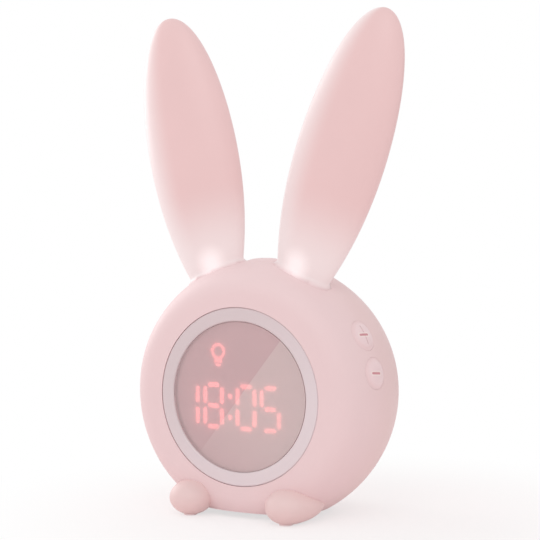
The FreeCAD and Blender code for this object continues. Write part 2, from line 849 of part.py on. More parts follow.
def prisms(faces, depth):
    """Solids that run back from flat faces."""
    return Part.makeCompound([face.extrude(Vector(0, depth, 0)) for face in faces])


def lamp_form(spread, depth):
    """The small lamp sign: a bulb's outline that closes to a block, and a tip below."""
    x = size("lamp_x")
    z = size("lamp_z")
    radius = size("lamp_radius")
    run = Vector(0, depth, 0)
    shoulder = size("lamp_shoulder_width") / 2
    block = size("lamp_block_width") / 2 + spread
    stem = size("lamp_stem_width") / 2 - spread
    tip = size("lamp_tip_width") / 2 + spread
    shoulder_level = z - size("lamp_shoulder_drop")
    block_top = z - size("lamp_block_drop")
    bulb = dot(x, z, radius + spread).extrude(run)
    shoulders = flat(x, block_top, shoulder_level, block, shoulder + spread).extrude(run)
    foot = flat(x, z - size("lamp_block_end") - spread, block_top, block, block).extrude(run)
    inside = dot(x, z, radius - size("lamp_line") - spread).extrude(run)
    notch = flat(x, z - size("lamp_stem_end") + spread, z, stem, stem).extrude(run)
    low = flat(x, z - size("lamp_tip_end") - spread, z - size("lamp_tip_drop") + spread, tip, tip).extrude(run)
    outline = bulb.fuse([shoulders, foot]).removeSplitter()
    return Part.makeCompound([outline.cut(inside.fuse(notch)), low])


gap = size("guide_gap")
mask_depth = size("mask_depth")
guide_depth = mask_depth - size("led_height") - gap
lamp_depth = mask_depth - size("lamp_web")
windows = solid(prisms(lit_windows(gap) + dark_windows(gap), mask_depth))
lamp_recess = solid(lamp_form(gap, lamp_depth))
LAMP_NECK_Z = "lamp_z - (lamp_block_drop + lamp_block_end) / 2"
lamp_hole = cylinder("led_width / 2", "mask_depth", "lamp_x", "-mask_front", LAMP_NECK_Z)
mask_disc = cylinder("mask_radius", "mask_depth", y="-mask_front")
keep("segment_mask", cut(mask_disc, windows, lamp_recess, lamp_hole))
keep("lit_segments", solid(prisms(lit_windows(0), guide_depth)))
keep("dark_segments", solid(prisms(dark_windows(0), guide_depth)))
keep("lamp_sign", solid(lamp_form(0, lamp_depth - gap)))


def display_leds():
    """One small light source on the board behind each window."""
    width = size("led_width")
    height = size("led_height")
    solids = []
    middles = [face.CenterOfMass for face in lit_windows(0) + dark_windows(0)]
    for middle in middles:
        corner = Vector(middle.x - width / 2, mask_depth - size("mask_front") - height, middle.z - width / 2)
        solids.append(Part.makeBox(width, height, width, corner))
    return Part.makeCompound(solids)


keep("display_leds", solid(display_leds()))
MASK_BACK = "(mask_depth - mask_front)"
keep("display_board", cylinder("mask_radius", "board_thickness", y=MASK_BACK))


def display_carrier():
    """Round tray that holds mask and board against the lens, with four screw ears."""
    front = f"({LENS_BACK} + gasket_depth)"
    tray = cylinder("carrier_radius", f"{CARRIER_BACK} - {front}", y=front)
    ears = []
    holes = [
        cylinder("mask_radius + fit_gap", f"{CARRIER_SEAT} - {front}", y=front),
        box("ribbon_width + 6", "10", "12", "0", CARRIER_BACK, "-10"),
    ]
    for spot in RING_SPOTS:
        x, z = on_circle("carrier_post_ring", spot)
        ears.append(cylinder("carrier_ear_radius", "carrier_floor", x, CARRIER_SEAT, z))
        holes.append(cylinder("post_radius + fit_gap", f"{CARRIER_SEAT} - {front}", x, front, z))
        holes.append(cylinder("clear_radius", "3 * carrier_floor", x, CARRIER_SEAT, z))
    return keep("display_carrier", cut(fuse(tray, *ears), *holes))


display_carrier()
screws = []
for spot in RING_SPOTS:
    x, z = on_circle("carrier_post_ring", spot)
    screws.append(screw_along_y(x, z, CARRIER_BACK, "front"))
keep("carrier_screws", group(*screws))

# Main board with its chips, on four posts of the shell
BOARD_DEPTH = "(main_board_back - main_board_front)"
BOARD_MIDDLE = "((main_board_back + main_board_front) / 2)"
BOARD_Z = "(-main_board_top - board_thickness / 2)"
plate = box("2 * main_board_half_width", BOARD_DEPTH, "board_thickness", "0", BOARD_MIDDLE, BOARD_Z)
holes = []
screws = []
for sign in ("1", "-1"):
    for y in ("board_post_front", "board_post_back"):
        x = f"{sign} * board_post_x"
        bottom = "-main_board_top - board_thickness"
        holes.append(cylinder("clear_radius", "2 * board_thickness", x, y, bottom, "z"))
        head = cylinder("head_radius", "head_height", x, y, "-main_board_top", "z")
        shank = cylinder("shank_radius", "shank_length", x, y, "-main_board_top - shank_length", "z")
        screws.append(fuse(head, shank))
keep("main_board", cut(plate, *holes))
keep("board_screws", group(*screws))


def chip(length, width, height, x, y):
    """A box-shaped part that stands on the main board."""
    return box(length, width, height, x, y, f"({height}) / 2 - main_board_top")


keep("board_parts", group(
    chip("8", "8", "1.2", "0", "8"),
    chip("5", "4", "1.4", "-10", "4"),
    chip("3.4", "8", "3", "-14", "18"),
    chip("6", "6", "2.4", "-2", "21"),
    cylinder("2.5", "7", "-19", "26", "-main_board_top", "z"),
))

# Battery in its cradle on the shell's floor
CELL_X = "-cell_length / 2"
keep("battery_cell", cylinder("cell_radius", "cell_length", CELL_X, "cell_y", "-cell_drop", "x"))
CRADLE_WIDTH = "2 * (cell_radius + cradle_wall)"
CRADLE_HEIGHT = "(base_drop - wall - cell_drop)"
saddle = box("2 * cradle_half_length", CRADLE_WIDTH, CRADLE_HEIGHT, "0", "cell_y",
             f"-cell_drop - {CRADLE_HEIGHT} / 2")
bed = cylinder("cell_radius + guide_gap", "cell_length", CELL_X, "cell_y", "-cell_drop", "x")
keep("battery_cradle", cut(saddle, bed))
band = cylinder("cell_radius + guide_gap + strap_thickness", "strap_width", "-strap_width / 2", "cell_y",
                "-cell_drop", "x")
bore = cylinder("cell_radius + guide_gap", "strap_width", "-strap_width / 2", "cell_y", "-cell_drop", "x")
keep("battery_strap", cut(band, bore, below("cell_drop")))

# Speaker on the rear cover, facing the grille
gasket = cylinder("speaker_radius", "speaker_gasket", y=f"{SPEAKER_SEAT} - speaker_gasket", z="speaker_z")
gasket_bore = cylinder("speaker_radius - surround_wall", "speaker_gasket",
                       y=f"{SPEAKER_SEAT} - speaker_gasket", z="speaker_z")
keep("speaker_gasket", cut(gasket, gasket_bore))


def cone_along_y(front_radius, back_radius, length, y):
    """A cone on the speaker's axis, from its inner end to its outer end."""
    thing = doc.addObject("Part::Cone", "cone")
    bind(thing, "Radius1", front_radius)
    bind(thing, "Radius2", back_radius)
    bind(thing, "Height", length)
    thing.Placement = Placement(Vector(), TURNS["y"])
    return place(thing, "0", y, "speaker_z")


BASKET_START = f"({FLANGE_BACK} - basket_depth)"
basket = cone_along_y("basket_back_radius", "speaker_radius - surround_wall", "basket_depth", BASKET_START)
hollow = cone_along_y("basket_back_radius - sheet_metal", "speaker_radius - surround_wall - sheet_metal",
                      "basket_depth", BASKET_START)
flange = cylinder("speaker_radius", "speaker_flange", y=FLANGE_BACK, z="speaker_z")
flange_bore = cylinder("speaker_radius - surround_wall - sheet_metal", "speaker_flange",
                       y=FLANGE_BACK, z="speaker_z")
floor_plate = cylinder("basket_back_radius", "sheet_metal", y=BASKET_START, z="speaker_z")
keep("speaker_frame", fuse(cut(fuse(basket, flange), hollow, flange_bore), floor_plate))
keep("speaker_magnet", cylinder("magnet_radius", "magnet_depth", y=f"{BASKET_START} - magnet_depth",
                                z="speaker_z"))
CONE_START = f"({BASKET_START} + sheet_metal)"
CONE_LENGTH = f"({FLANGE_BACK} + speaker_flange - {CONE_START})"
CONE_WIDE = "(speaker_radius - surround_wall - sheet_metal - fit_gap)"
paper = cone_along_y("5", CONE_WIDE, CONE_LENGTH, CONE_START)
paper_hollow = cone_along_y("5 - sheet_metal", f"{CONE_WIDE} - sheet_metal", CONE_LENGTH, CONE_START)
coil_cap = cylinder("5", "sheet_metal", y=CONE_START, z="speaker_z")
rim_clear = cut(paper, paper_hollow)
basket_keep = common(fuse(rim_clear, coil_cap), fuse(hollow, flange_bore))
keep("speaker_cone", cut(basket_keep, floor_plate))
screws = []
for spot in RING_SPOTS:
    x, z = on_circle("speaker_screw_ring", spot)
    head = cylinder("head_radius + 1.2", "head_height", x, f"{FLANGE_BACK} - head_height", f"speaker_z + {z}")
    shank = cylinder("shank_radius", "3", x, FLANGE_BACK, f"speaker_z + {z}")
    screws.append(fuse(head, shank))
keep("speaker_screws", group(*screws))

# Charging socket and slide switch at the board's rear edge
shell_box = box("socket_width", "socket_length", "socket_height", "socket_x",
                f"{SOCKET_END} - socket_length / 2", SOCKET_Z)
mouth = box("socket_width - 2 * socket_sheet", "socket_length - 1", "socket_height - 2 * socket_sheet",
            "socket_x", f"{SOCKET_END} - (socket_length - 1) / 2", SOCKET_Z)
tongue = box("socket_width - 2.4", "socket_length - 2", "0.7", "socket_x",
             f"{SOCKET_END} - 1 - (socket_length - 2) / 2", SOCKET_Z)
keep("usb_socket", fuse(cut(shell_box, mouth), tongue))
keep("power_switch", box("switch_length", "switch_depth", "switch_height", "switch_x",
                         f"{SWITCH_BACK} - switch_depth / 2", SWITCH_Z))
stem_length = f"({KNOB_Y} - {SWITCH_BACK} - guide_gap)"
stem = box("knob_stem", stem_length, "knob_stem", KNOB_X, f"{KNOB_Y} - {stem_length} / 2", SWITCH_Z)
cap = box("knob_width", "knob_thickness", "knob_height", KNOB_X, f"{KNOB_Y} + knob_thickness / 2", SWITCH_Z)
grooves = []
for step in (-1, 0, 1):
    grooves.append(box("0.4", "0.5", "knob_height", f"{KNOB_X} + {step} * knob_width / 4",
                       f"{KNOB_Y} + knob_thickness", SWITCH_Z))
keep("power_knob", cut(fuse(stem, cap), *grooves))

# Side buttons with their switches and boards
PLUS_SIGN = ("plus", True)
MINUS_SIGN = ("minus", False)
board_screws = []
for name, upright in (PLUS_SIGN, MINUS_SIGN):
    frame = FRAMES[name]
    dome = doc.addObject("Part::Sphere", "dome")
    bind(dome, "Radius", "side_dome_radius")
    dome_spot = Placement(Vector(0, 0, size("side_button_rise - side_dome_radius")), Rotation())
    dome.Placement = Placement(centre(), Rotation()) * frame * dome_spot
    cap = common(rod(frame, "side_button_radius", "-side_flange_depth", "side_button_rise + 1"), dome)
    flange = rod(frame, "side_button_radius + flange_extra", "-side_flange_depth - flange_thickness",
                 "-side_flange_depth")
    stem = rod(frame, "stem_radius", "-side_stem_end", "-side_flange_depth")
    sign_floor = "side_button_rise - sign_depth"
    marks = [block(frame, "sign_length", "sign_width", sign_floor, "side_button_rise + 1")]
    if upright:
        marks.append(block(frame, "sign_width", "sign_length", sign_floor, "side_button_rise + 1"))
    keep(f"{name}_button", cut(fuse(cap, flange, stem), *marks))
    plunger_end = "-side_stem_end - plunger_length"
    keep(f"{name}_plunger", rod(frame, "plunger_radius", plunger_end, "-side_stem_end"))
    keep(f"{name}_switch", block(frame, "tact_width", "tact_width", SIDE_BOARD_TOP, SIDE_SWITCH_TOP))
    plate = block(frame, "2 * side_board_half_length", "2 * side_board_half_width", SIDE_BOARD_BACK,
                  SIDE_BOARD_TOP)
    holes = []
    for sign in (1, -1):
        offset = sign * size("side_post_offset")
        holes.append(rod(frame, "clear_radius", SIDE_BOARD_BACK, SIDE_BOARD_TOP, x=offset))
        head = rod(frame, "side_post_radius", f"{SIDE_BOARD_BACK} - head_height", SIDE_BOARD_BACK, x=offset)
        shank = rod(frame, "shank_radius", SIDE_BOARD_BACK, f"{SIDE_BOARD_BACK} + shank_length", x=offset)
        board_screws.append(fuse(head, shank))
    keep(f"{name}_switch_board", cut(plate, *holes))

# Top button between the ears
cap = common(cylinder("top_button_radius", "body_radius / 6", z="top_flange_top", along="z"),
             barrel("top_form", "-top_button_rise"))
flange = cylinder("top_button_radius + top_flange_extra", "flange_thickness",
                  z="top_flange_top - flange_thickness", along="z")
stem = cylinder("stem_radius", "top_flange_top - top_stem_end", z="top_stem_end", along="z")
keep("top_button", fuse(cap, flange, stem))
keep("top_plunger", cylinder("plunger_radius", "plunger_length", z="top_stem_end - plunger_length", along="z"))
keep("top_switch", box("tact_width", "tact_width", "tact_height", z=f"{TOP_BOARD_TOP} + tact_height / 2"))
plate = box("2 * top_board_half_width", "2 * (top_post_offset + post_radius)", "board_thickness",
            z=f"{TOP_BOARD_TOP} - board_thickness / 2")
holes = []
for sign in ("1", "-1"):
    y = f"{sign} * top_post_offset"
    bottom = f"{TOP_BOARD_TOP} - board_thickness"
    holes.append(cylinder("clear_radius", "board_thickness", "0", y, bottom, "z"))
    head = cylinder("head_radius", "head_height", "0", y, f"{bottom} - head_height", "z")
    shank = cylinder("shank_radius", "shank_length", "0", y, bottom, "z")
    board_screws.append(fuse(head, shank))
keep("top_switch_board", cut(plate, *holes))
keep("switch_board_screws", group(*board_screws))


# Ears: hollow lit shells, flat in section, on round spigots
def ear_form(half_width, length, share):
    """A leaf-shaped body of revolution, flattened front to back: it widens from the base, is widest
    halfway up and closes in a round tip."""
    base = size("ear_base_half_width") + half_width - size("ear_half_width")
    swell = half_width - base
    stations = [0, 0.1, 0.22, 0.36, 0.5, 0.64, 0.76, 0.86, 0.93, 0.975, 0.994]

    def width(t):
        """Half width at a share of the length: a cubic under a square root that closes the tip."""
        return math.sqrt(1 - t) * (base + swell * (5.08 * t - 3.64 * t * t + 1.63 * t ** 3))

    points = [Vector(width(t), 0, length * t) for t in stations]
    points.append(Vector(0, 0, length))
    edge = Part.BSplineCurve()
    edge.interpolate(Points=points, InitialTangent=Vector(0.42, 0, 1), FinalTangent=Vector(-1, 0, 0))
    wire = Part.Wire([
        edge.toShape(),
        Part.makeLine(points[-1], Vector(0, 0, 0)),
        Part.makeLine(Vector(0, 0, 0), points[0]),
    ])
    turned = Part.Face(wire).revolve(Vector(0, 0, 0), Vector(0, 0, 1), 360)
    flatten = Matrix()
    flatten.scale(1, share, 1)
    return turned.transformGeometry(flatten)


def right_ear():
    """Ear shell, seated on the drum, with its cavity, spigot, bore and clip groove."""
    wall = size("ear_wall")
    wide = size("ear_half_width")
    share = size("ear_thickness_share")
    inner_share = (share * wide - wall) / (wide - wall)
    outer = solid(ear_form(wide, EAR_LENGTH, share), EAR_FRAME)
    inner = solid(ear_form(wide - wall, EAR_LENGTH - wall, inner_share), EAR_FRAME)
    seat = barrel("ear_floor_form", "-ear_floor")
    leaf = cut(cut(outer, outer_form), cut(inner, seat))
    spigot = rod(EAR_FRAME, "spigot_radius", "spigot_end", "spigot_root")
    bore = rod(EAR_FRAME, "spigot_bore", "spigot_end", "spigot_root + 6")
    ring = rod(EAR_FRAME, "spigot_radius + 1", "clip_start", "clip_start + clip_thickness")
    ring_core = rod(EAR_FRAME, "groove_radius", "clip_start", "clip_start + clip_thickness")
    return keep("right_ear", cut(fuse(leaf, spigot), bore, cut(ring, ring_core)))


ear = right_ear()
left_twin("left_ear", ear)
disc = rod(EAR_FRAME, "clip_radius", "clip_start + guide_gap", "clip_start + clip_thickness - guide_gap")
hole = rod(EAR_FRAME, "groove_radius + guide_gap", "clip_start", "clip_start + clip_thickness")
clip_mouth = block(EAR_FRAME, "4", "clip_radius", "clip_start", "clip_start + clip_thickness",
                   y=size("clip_radius") / 2 + 1)
right_clip = cut(disc, hole, clip_mouth)
doc.recompute()
clip_pair = Part.makeCompound([right_clip.Shape, mirrored(right_clip)])
clips = doc.addObject("Part::Feature", "clips")
clips.Shape = clip_pair
keep("ear_clips", clips)
led_board = rod(EAR_FRAME, "spigot_radius", "spigot_end - board_thickness", "spigot_end")
keep("right_ear_board", led_board)
left_twin("left_ear_board", led_board)
led_top = "spigot_end + ear_led_length - ear_led_radius"
lamp_body = rod(EAR_FRAME, "ear_led_radius", "spigot_end", led_top)
lamp_dome = doc.addObject("Part::Sphere", "lamp_dome")
bind(lamp_dome, "Radius", "ear_led_radius")
dome_spot = Placement(Vector(0, 0, size(led_top)), Rotation())
lamp_dome.Placement = Placement(centre(), Rotation()) * EAR_FRAME * dome_spot
right_lamp = fuse(lamp_body, lamp_dome)
doc.recompute()
lamps = doc.addObject("Part::Feature", "lamps")
lamps.Shape = Part.makeCompound([right_lamp.Shape, mirrored(right_lamp)])
keep("ear_lights", lamps)


# Feet: egg-shaped lobes under the front edge, each on a peg through the shell
def foot_form():
    """An egg lying on its side: two half ellipses with one width, turned and flattened."""
    wide = size("foot_half_width")
    front = Part.Arc(Vector(0, -1, 0), Vector(math.sqrt(0.5), -math.sqrt(0.5), 0), Vector(1, 0, 0)).toShape()
    back = Part.Arc(Vector(1, 0, 0), Vector(math.sqrt(0.5), math.sqrt(0.5), 0), Vector(0, 1, 0)).toShape()
    halves = []
    for edge, reach in ((front, size("foot_front")), (back, size("foot_back"))):
        ends = [vertex.Point for vertex in edge.Vertexes]
        wire = Part.Wire([edge, Part.makeLine(ends[1], Vector(0, 0, 0)), Part.makeLine(Vector(0, 0, 0), ends[0])])
        half = Part.Face(wire).revolve(Vector(0, 0, 0), Vector(0, 1, 0), 360)
        stretch = Matrix()
        stretch.scale(wide, reach, size("foot_half_height"))
        halves.append(half.transformGeometry(stretch))
    return halves[0].fuse(halves[1]).removeSplitter()


foot_spot = Vector(size("foot_x"), -size("foot_y"), -size("foot_drop"))
foot_turn = Rotation(Vector(0, 0, 1), -size("foot_splay"))
lobe = solid(foot_form(), Placement(foot_spot, foot_turn))
lobe = cut(lobe, outer_form, below("centre_height - foot_flat"))
peg_length = "foot_peg_start - foot_peg_end"
peg = cylinder("foot_peg_radius", peg_length, "foot_peg_x", "-foot_peg_start", "-foot_peg_drop")
peg_pilot = cylinder("pilot_radius", "shank_length", "foot_peg_x", "-foot_peg_end - shank_length",
                     "-foot_peg_drop")
pad_seat = cylinder("foot_pad_radius + guide_gap", "2 * pad_recess + foot_flat", "foot_x", "-foot_y - 1",
                    PAD_BOTTOM, "z")
right_foot = keep("right_foot", cut(fuse(lobe, peg), peg_pilot, pad_seat))
left_twin("left_foot", right_foot)
screws = []
pads = []
for sign in ("1", "-1"):
    x = f"{sign} * foot_peg_x"
    head = cylinder("head_radius + 0.9", "head_height", x, "-foot_peg_end", "-foot_peg_drop")
    shank = cylinder("shank_radius", "shank_length", x, "-foot_peg_end - shank_length", "-foot_peg_drop")
    screws.append(fuse(head, shank))
    pads.append(cylinder("foot_pad_radius", "2 * pad_recess + foot_flat", f"{sign} * foot_x",
                         "-foot_y - 1", PAD_BOTTOM, "z"))
    pads.append(cylinder("rear_pad_radius", "centre_height - base_drop + pad_recess", f"{sign} * rear_pad_x",
                         "rear_pad_y", PAD_BOTTOM, "z"))
keep("foot_screws", group(*screws))
keep("rubber_pads", group(*pads))


# Internal leads: straight runs joined by tangent arcs
def route(points):
    """A path through the points, each corner rounded by an arc as large as its runs allow."""
    edges = []
    start = points[0]
    for index in range(1, len(points) - 1):
        before = points[index] - points[index - 1]
        after = points[index + 1] - points[index]
        turn = before.getAngle(after)
        trim = 0.45 * min(before.Length, after.Length)
        radius = trim / math.tan(turn / 2)
        into = Vector(before).normalize()
        out = Vector(after).normalize()
        first = points[index] - into * trim
        last = points[index] + out * trim
        inward = (out - into).normalize()
        middle = points[index] + inward * (math.hypot(radius, trim) - radius)
        edges.append(Part.makeLine(start, first))
        edges.append(Part.Arc(first, middle, last).toShape())
        start = last
    edges.append(Part.makeLine(start, points[-1]))
    return Part.Wire(edges)


def lead(label, points):
    """A round lead along a path."""
    path = route(points)
    circle = Part.makeCircle(size("lead_radius"), points[0], points[1] - points[0])
    tube = path.makePipeShell([Part.Wire([circle])], True, True)
    expected = path.Length * math.pi * size("lead_radius") ** 2
    print(label, "length", round(path.Length, 1), "volume share", round(tube.Volume / expected, 3))
    return keep(label, solid(tube))


def local_point(frame, height):
    """A point on the Z of a tilted frame."""
    return frame.multVec(Vector(0, 0, height))


straight = size("lead_straight")
board_level = -size("main_board_top")
ear_start = size("spigot_end - board_thickness")
for label, side in (("right_ear_lead", 1), ("left_ear_lead", -1)):
    start = local_point(EAR_FRAME, ear_start)
    after = local_point(EAR_FRAME, ear_start - straight)
    points = [start, after, Vector(20, 3, 34), Vector(20, 3, 4), Vector(18, 4, -14), Vector(18, 4, board_level)]
    lead(label, [Vector(side * p.x, p.y, p.z) for p in points])

side_start = size(SIDE_BOARD_BACK)
lead("plus_button_lead", [
    local_point(FRAMES["plus"], side_start),
    local_point(FRAMES["plus"], side_start - straight),
    Vector(33, 0, -12),
    Vector(17, -3, -19),
    Vector(17, -3, board_level),
])
lead("minus_button_lead", [
    local_point(FRAMES["minus"], side_start),
    local_point(FRAMES["minus"], side_start - straight),
    Vector(40, 3, -16),
    Vector(25, 4, -20),
    Vector(25, 4, board_level),
])
top_start = size(f"{TOP_BOARD_TOP} - board_thickness")
top_lead = Vector(size("top_lead_x"), size("top_lead_y"), top_start)
lead("top_button_lead", [
    top_lead,
    top_lead - Vector(0, 0, size("top_lead_straight")),
    Vector(10, 15, 24),
    Vector(11, 16, -6),
    Vector(11, 16, board_level),
])
cell_end = Vector(size("cell_length") / 2, size("cell_y"), -size("cell_drop"))
rise = size("battery_lead_rise")
lead("battery_lead", [
    cell_end,
    cell_end + Vector(rise, 0, 0),
    Vector(cell_end.x + rise, cell_end.y + 2, board_level + rise),
    Vector(25, 12, board_level + rise),
    Vector(25, 12, board_level),
])
speaker_tag = Vector(size("speaker_lead_x"), size(FLANGE_BACK), size("speaker_lead_z"))
speaker_turn = speaker_tag - Vector(0, size("speaker_lead_straight"), 0)
lead("speaker_lead", [speaker_tag, speaker_turn, Vector(speaker_turn.x, speaker_turn.y, board_level)])


def display_ribbon():
    """Flat ribbon from the display board to the main board."""
    half = size("ribbon_width") / 2
    thick = size("ribbon_thickness") / 2
    start = Vector(0, size(CARRIER_SEAT), -size("ribbon_drop"))
    bend = Vector(0, size("ribbon_bend_y"), start.z)
    path = route([start, bend, Vector(0, bend.y, board_level)])
    corners = [start + Vector(x, 0, z) for x, z in ((-half, -thick), (half, -thick), (half, thick), (-half, thick))]
    section = Part.makePolygon(corners + [corners[0]])
    return path.makePipeShell([section], True, False)


keep("display_ribbon", solid(display_ribbon()))

doc.recompute()
for thing in doc.Objects:
    bad = [state for state in thing.State if state in ("Invalid", "Error")]
    if bad:
        raise RuntimeError(f"{thing.Name} is {bad}")
for label, thing in pieces.items():
    shape = thing.Shape
    if shape.isNull() or not shape.isValid() or not shape.Solids:
        raise RuntimeError(f"{label} has no valid solid")
os.makedirs("parts", exist_ok=True)
for label, thing in pieces.items():
    thing.Shape.exportStep(f"parts/{label}.step")
print(len(pieces), "pieces written")
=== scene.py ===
import logging
import math
from dataclasses import dataclass, field
from enum import Enum

import bpy
import numpy as np
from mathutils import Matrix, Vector


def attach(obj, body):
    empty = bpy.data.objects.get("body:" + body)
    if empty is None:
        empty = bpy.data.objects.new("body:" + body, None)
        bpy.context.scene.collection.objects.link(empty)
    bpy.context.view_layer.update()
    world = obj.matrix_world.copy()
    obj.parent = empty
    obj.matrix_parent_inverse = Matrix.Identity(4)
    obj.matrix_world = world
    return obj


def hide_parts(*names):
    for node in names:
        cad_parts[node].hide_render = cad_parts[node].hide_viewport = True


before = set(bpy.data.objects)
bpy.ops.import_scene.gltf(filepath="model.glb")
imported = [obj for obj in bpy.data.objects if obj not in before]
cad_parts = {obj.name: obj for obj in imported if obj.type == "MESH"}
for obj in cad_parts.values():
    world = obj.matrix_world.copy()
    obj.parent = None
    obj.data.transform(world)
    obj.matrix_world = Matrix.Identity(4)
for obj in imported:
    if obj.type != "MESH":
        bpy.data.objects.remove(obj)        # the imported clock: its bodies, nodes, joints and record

log = logging.getLogger("clock")
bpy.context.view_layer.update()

MM = 0.001
DRUM_Y = -5.0 * MM
DRUM_Z = 59.0 * MM
DRUM_CENTRE = np.array([0.0, DRUM_Y, DRUM_Z])
SEAM_Y = 35.5 * MM
FULL_TURN = 2.0 * math.pi
TINY = 1e-9

WHITE = (1.0, 1.0, 1.0)
BLACK = (0.0, 0.0, 0.0)
SHEEN_ROUGHNESS = 0.4
CLOUD_DETAIL = 3.0
CLOUD_SPAN = (0.3, 0.7)
GLOSS_FINENESS = 4.0

# The Mix node's sockets for its share, its two colours and its result
MIX_SHARE = 0
MIX_FIRST = 6
MIX_SECOND = 7
MIX_RESULT = 2

Colour = tuple[float, float, float]
Place = tuple[float, float, float]
Span = tuple[float, float]
Grid = np.ndarray
Owner = bpy.types.Material | bpy.types.World


class Body(Enum):
    """The rigid bodies of the clock that a new piece rides on."""

    CLOCK = "clock"
    PLUS = "plus_cap"
    MINUS = "minus_cap"
    TOP = "top_cap"


def linear(red: float, green: float, blue: float) -> Colour:
    """Turns a display colour of 0 to 255 into scene-linear light.

    Args:
        red, green, blue: the display colour's three parts.

    Returns:
        The same colour as linear red, green and blue.
    """
    share = np.array([red, green, blue]) / 255.0
    low = share / 12.92
    high = ((share + 0.055) / 1.055) ** 2.4
    return tuple(float(v) for v in np.where(share <= 0.04045, low, high))


# Shader maths


class Wire:
    """A shader output that Python's operators turn into Math nodes."""

    def __init__(self, shade: "Shade", socket: bpy.types.NodeSocket) -> None:
        """Keeps the material under construction and one of its outputs."""
        self.shade = shade
        self.socket = socket

    def math(self, operation: str, *others: "Wire | float", swap: bool = False) -> "Wire":
        """Adds one Math node.

        Args:
            operation: the Math node's operation.
            others: further operands, links or numbers.
            swap: puts this wire after the first operand.

        Returns:
            The node's output.
        """
        values = [others[0], self] if swap else [self, *others]
        return self.shade.node("ShaderNodeMath", {"operation": operation}, dict(enumerate(values)))

    def __add__(self, other: "Wire | float") -> "Wire":
        """Sum."""
        return self.math("ADD", other)

    __radd__ = __add__

    def __sub__(self, other: "Wire | float") -> "Wire":
        """Difference."""
        return self.math("SUBTRACT", other)

    def __rsub__(self, other: float) -> "Wire":
        """Difference from a number."""
        return self.math("SUBTRACT", other, swap=True)

    def __mul__(self, other: "Wire | float") -> "Wire":
        """Product."""
        return self.math("MULTIPLY", other)

    __rmul__ = __mul__

    def __abs__(self) -> "Wire":
        """Size without sign."""
        return self.math("ABSOLUTE")

    def step(self, low: float, high: float) -> "Wire":
        """A soft step that rises from 0 at low to 1 at high, and falls where high is less than low."""
        settings = {"interpolation_type": "SMOOTHSTEP", "clamp": True}
        inputs = {0: self, 1: min(low, high), 2: max(low, high)}
        rising = self.shade.node("ShaderNodeMapRange", settings, inputs)
        return rising if low <= high else 1.0 - rising

    def ripple(self, pitch: float) -> "Wire":
        """The sine of a full turn for every pitch: a wave between -1 and 1."""
        return (self * (FULL_TURN / pitch)).math("SINE")


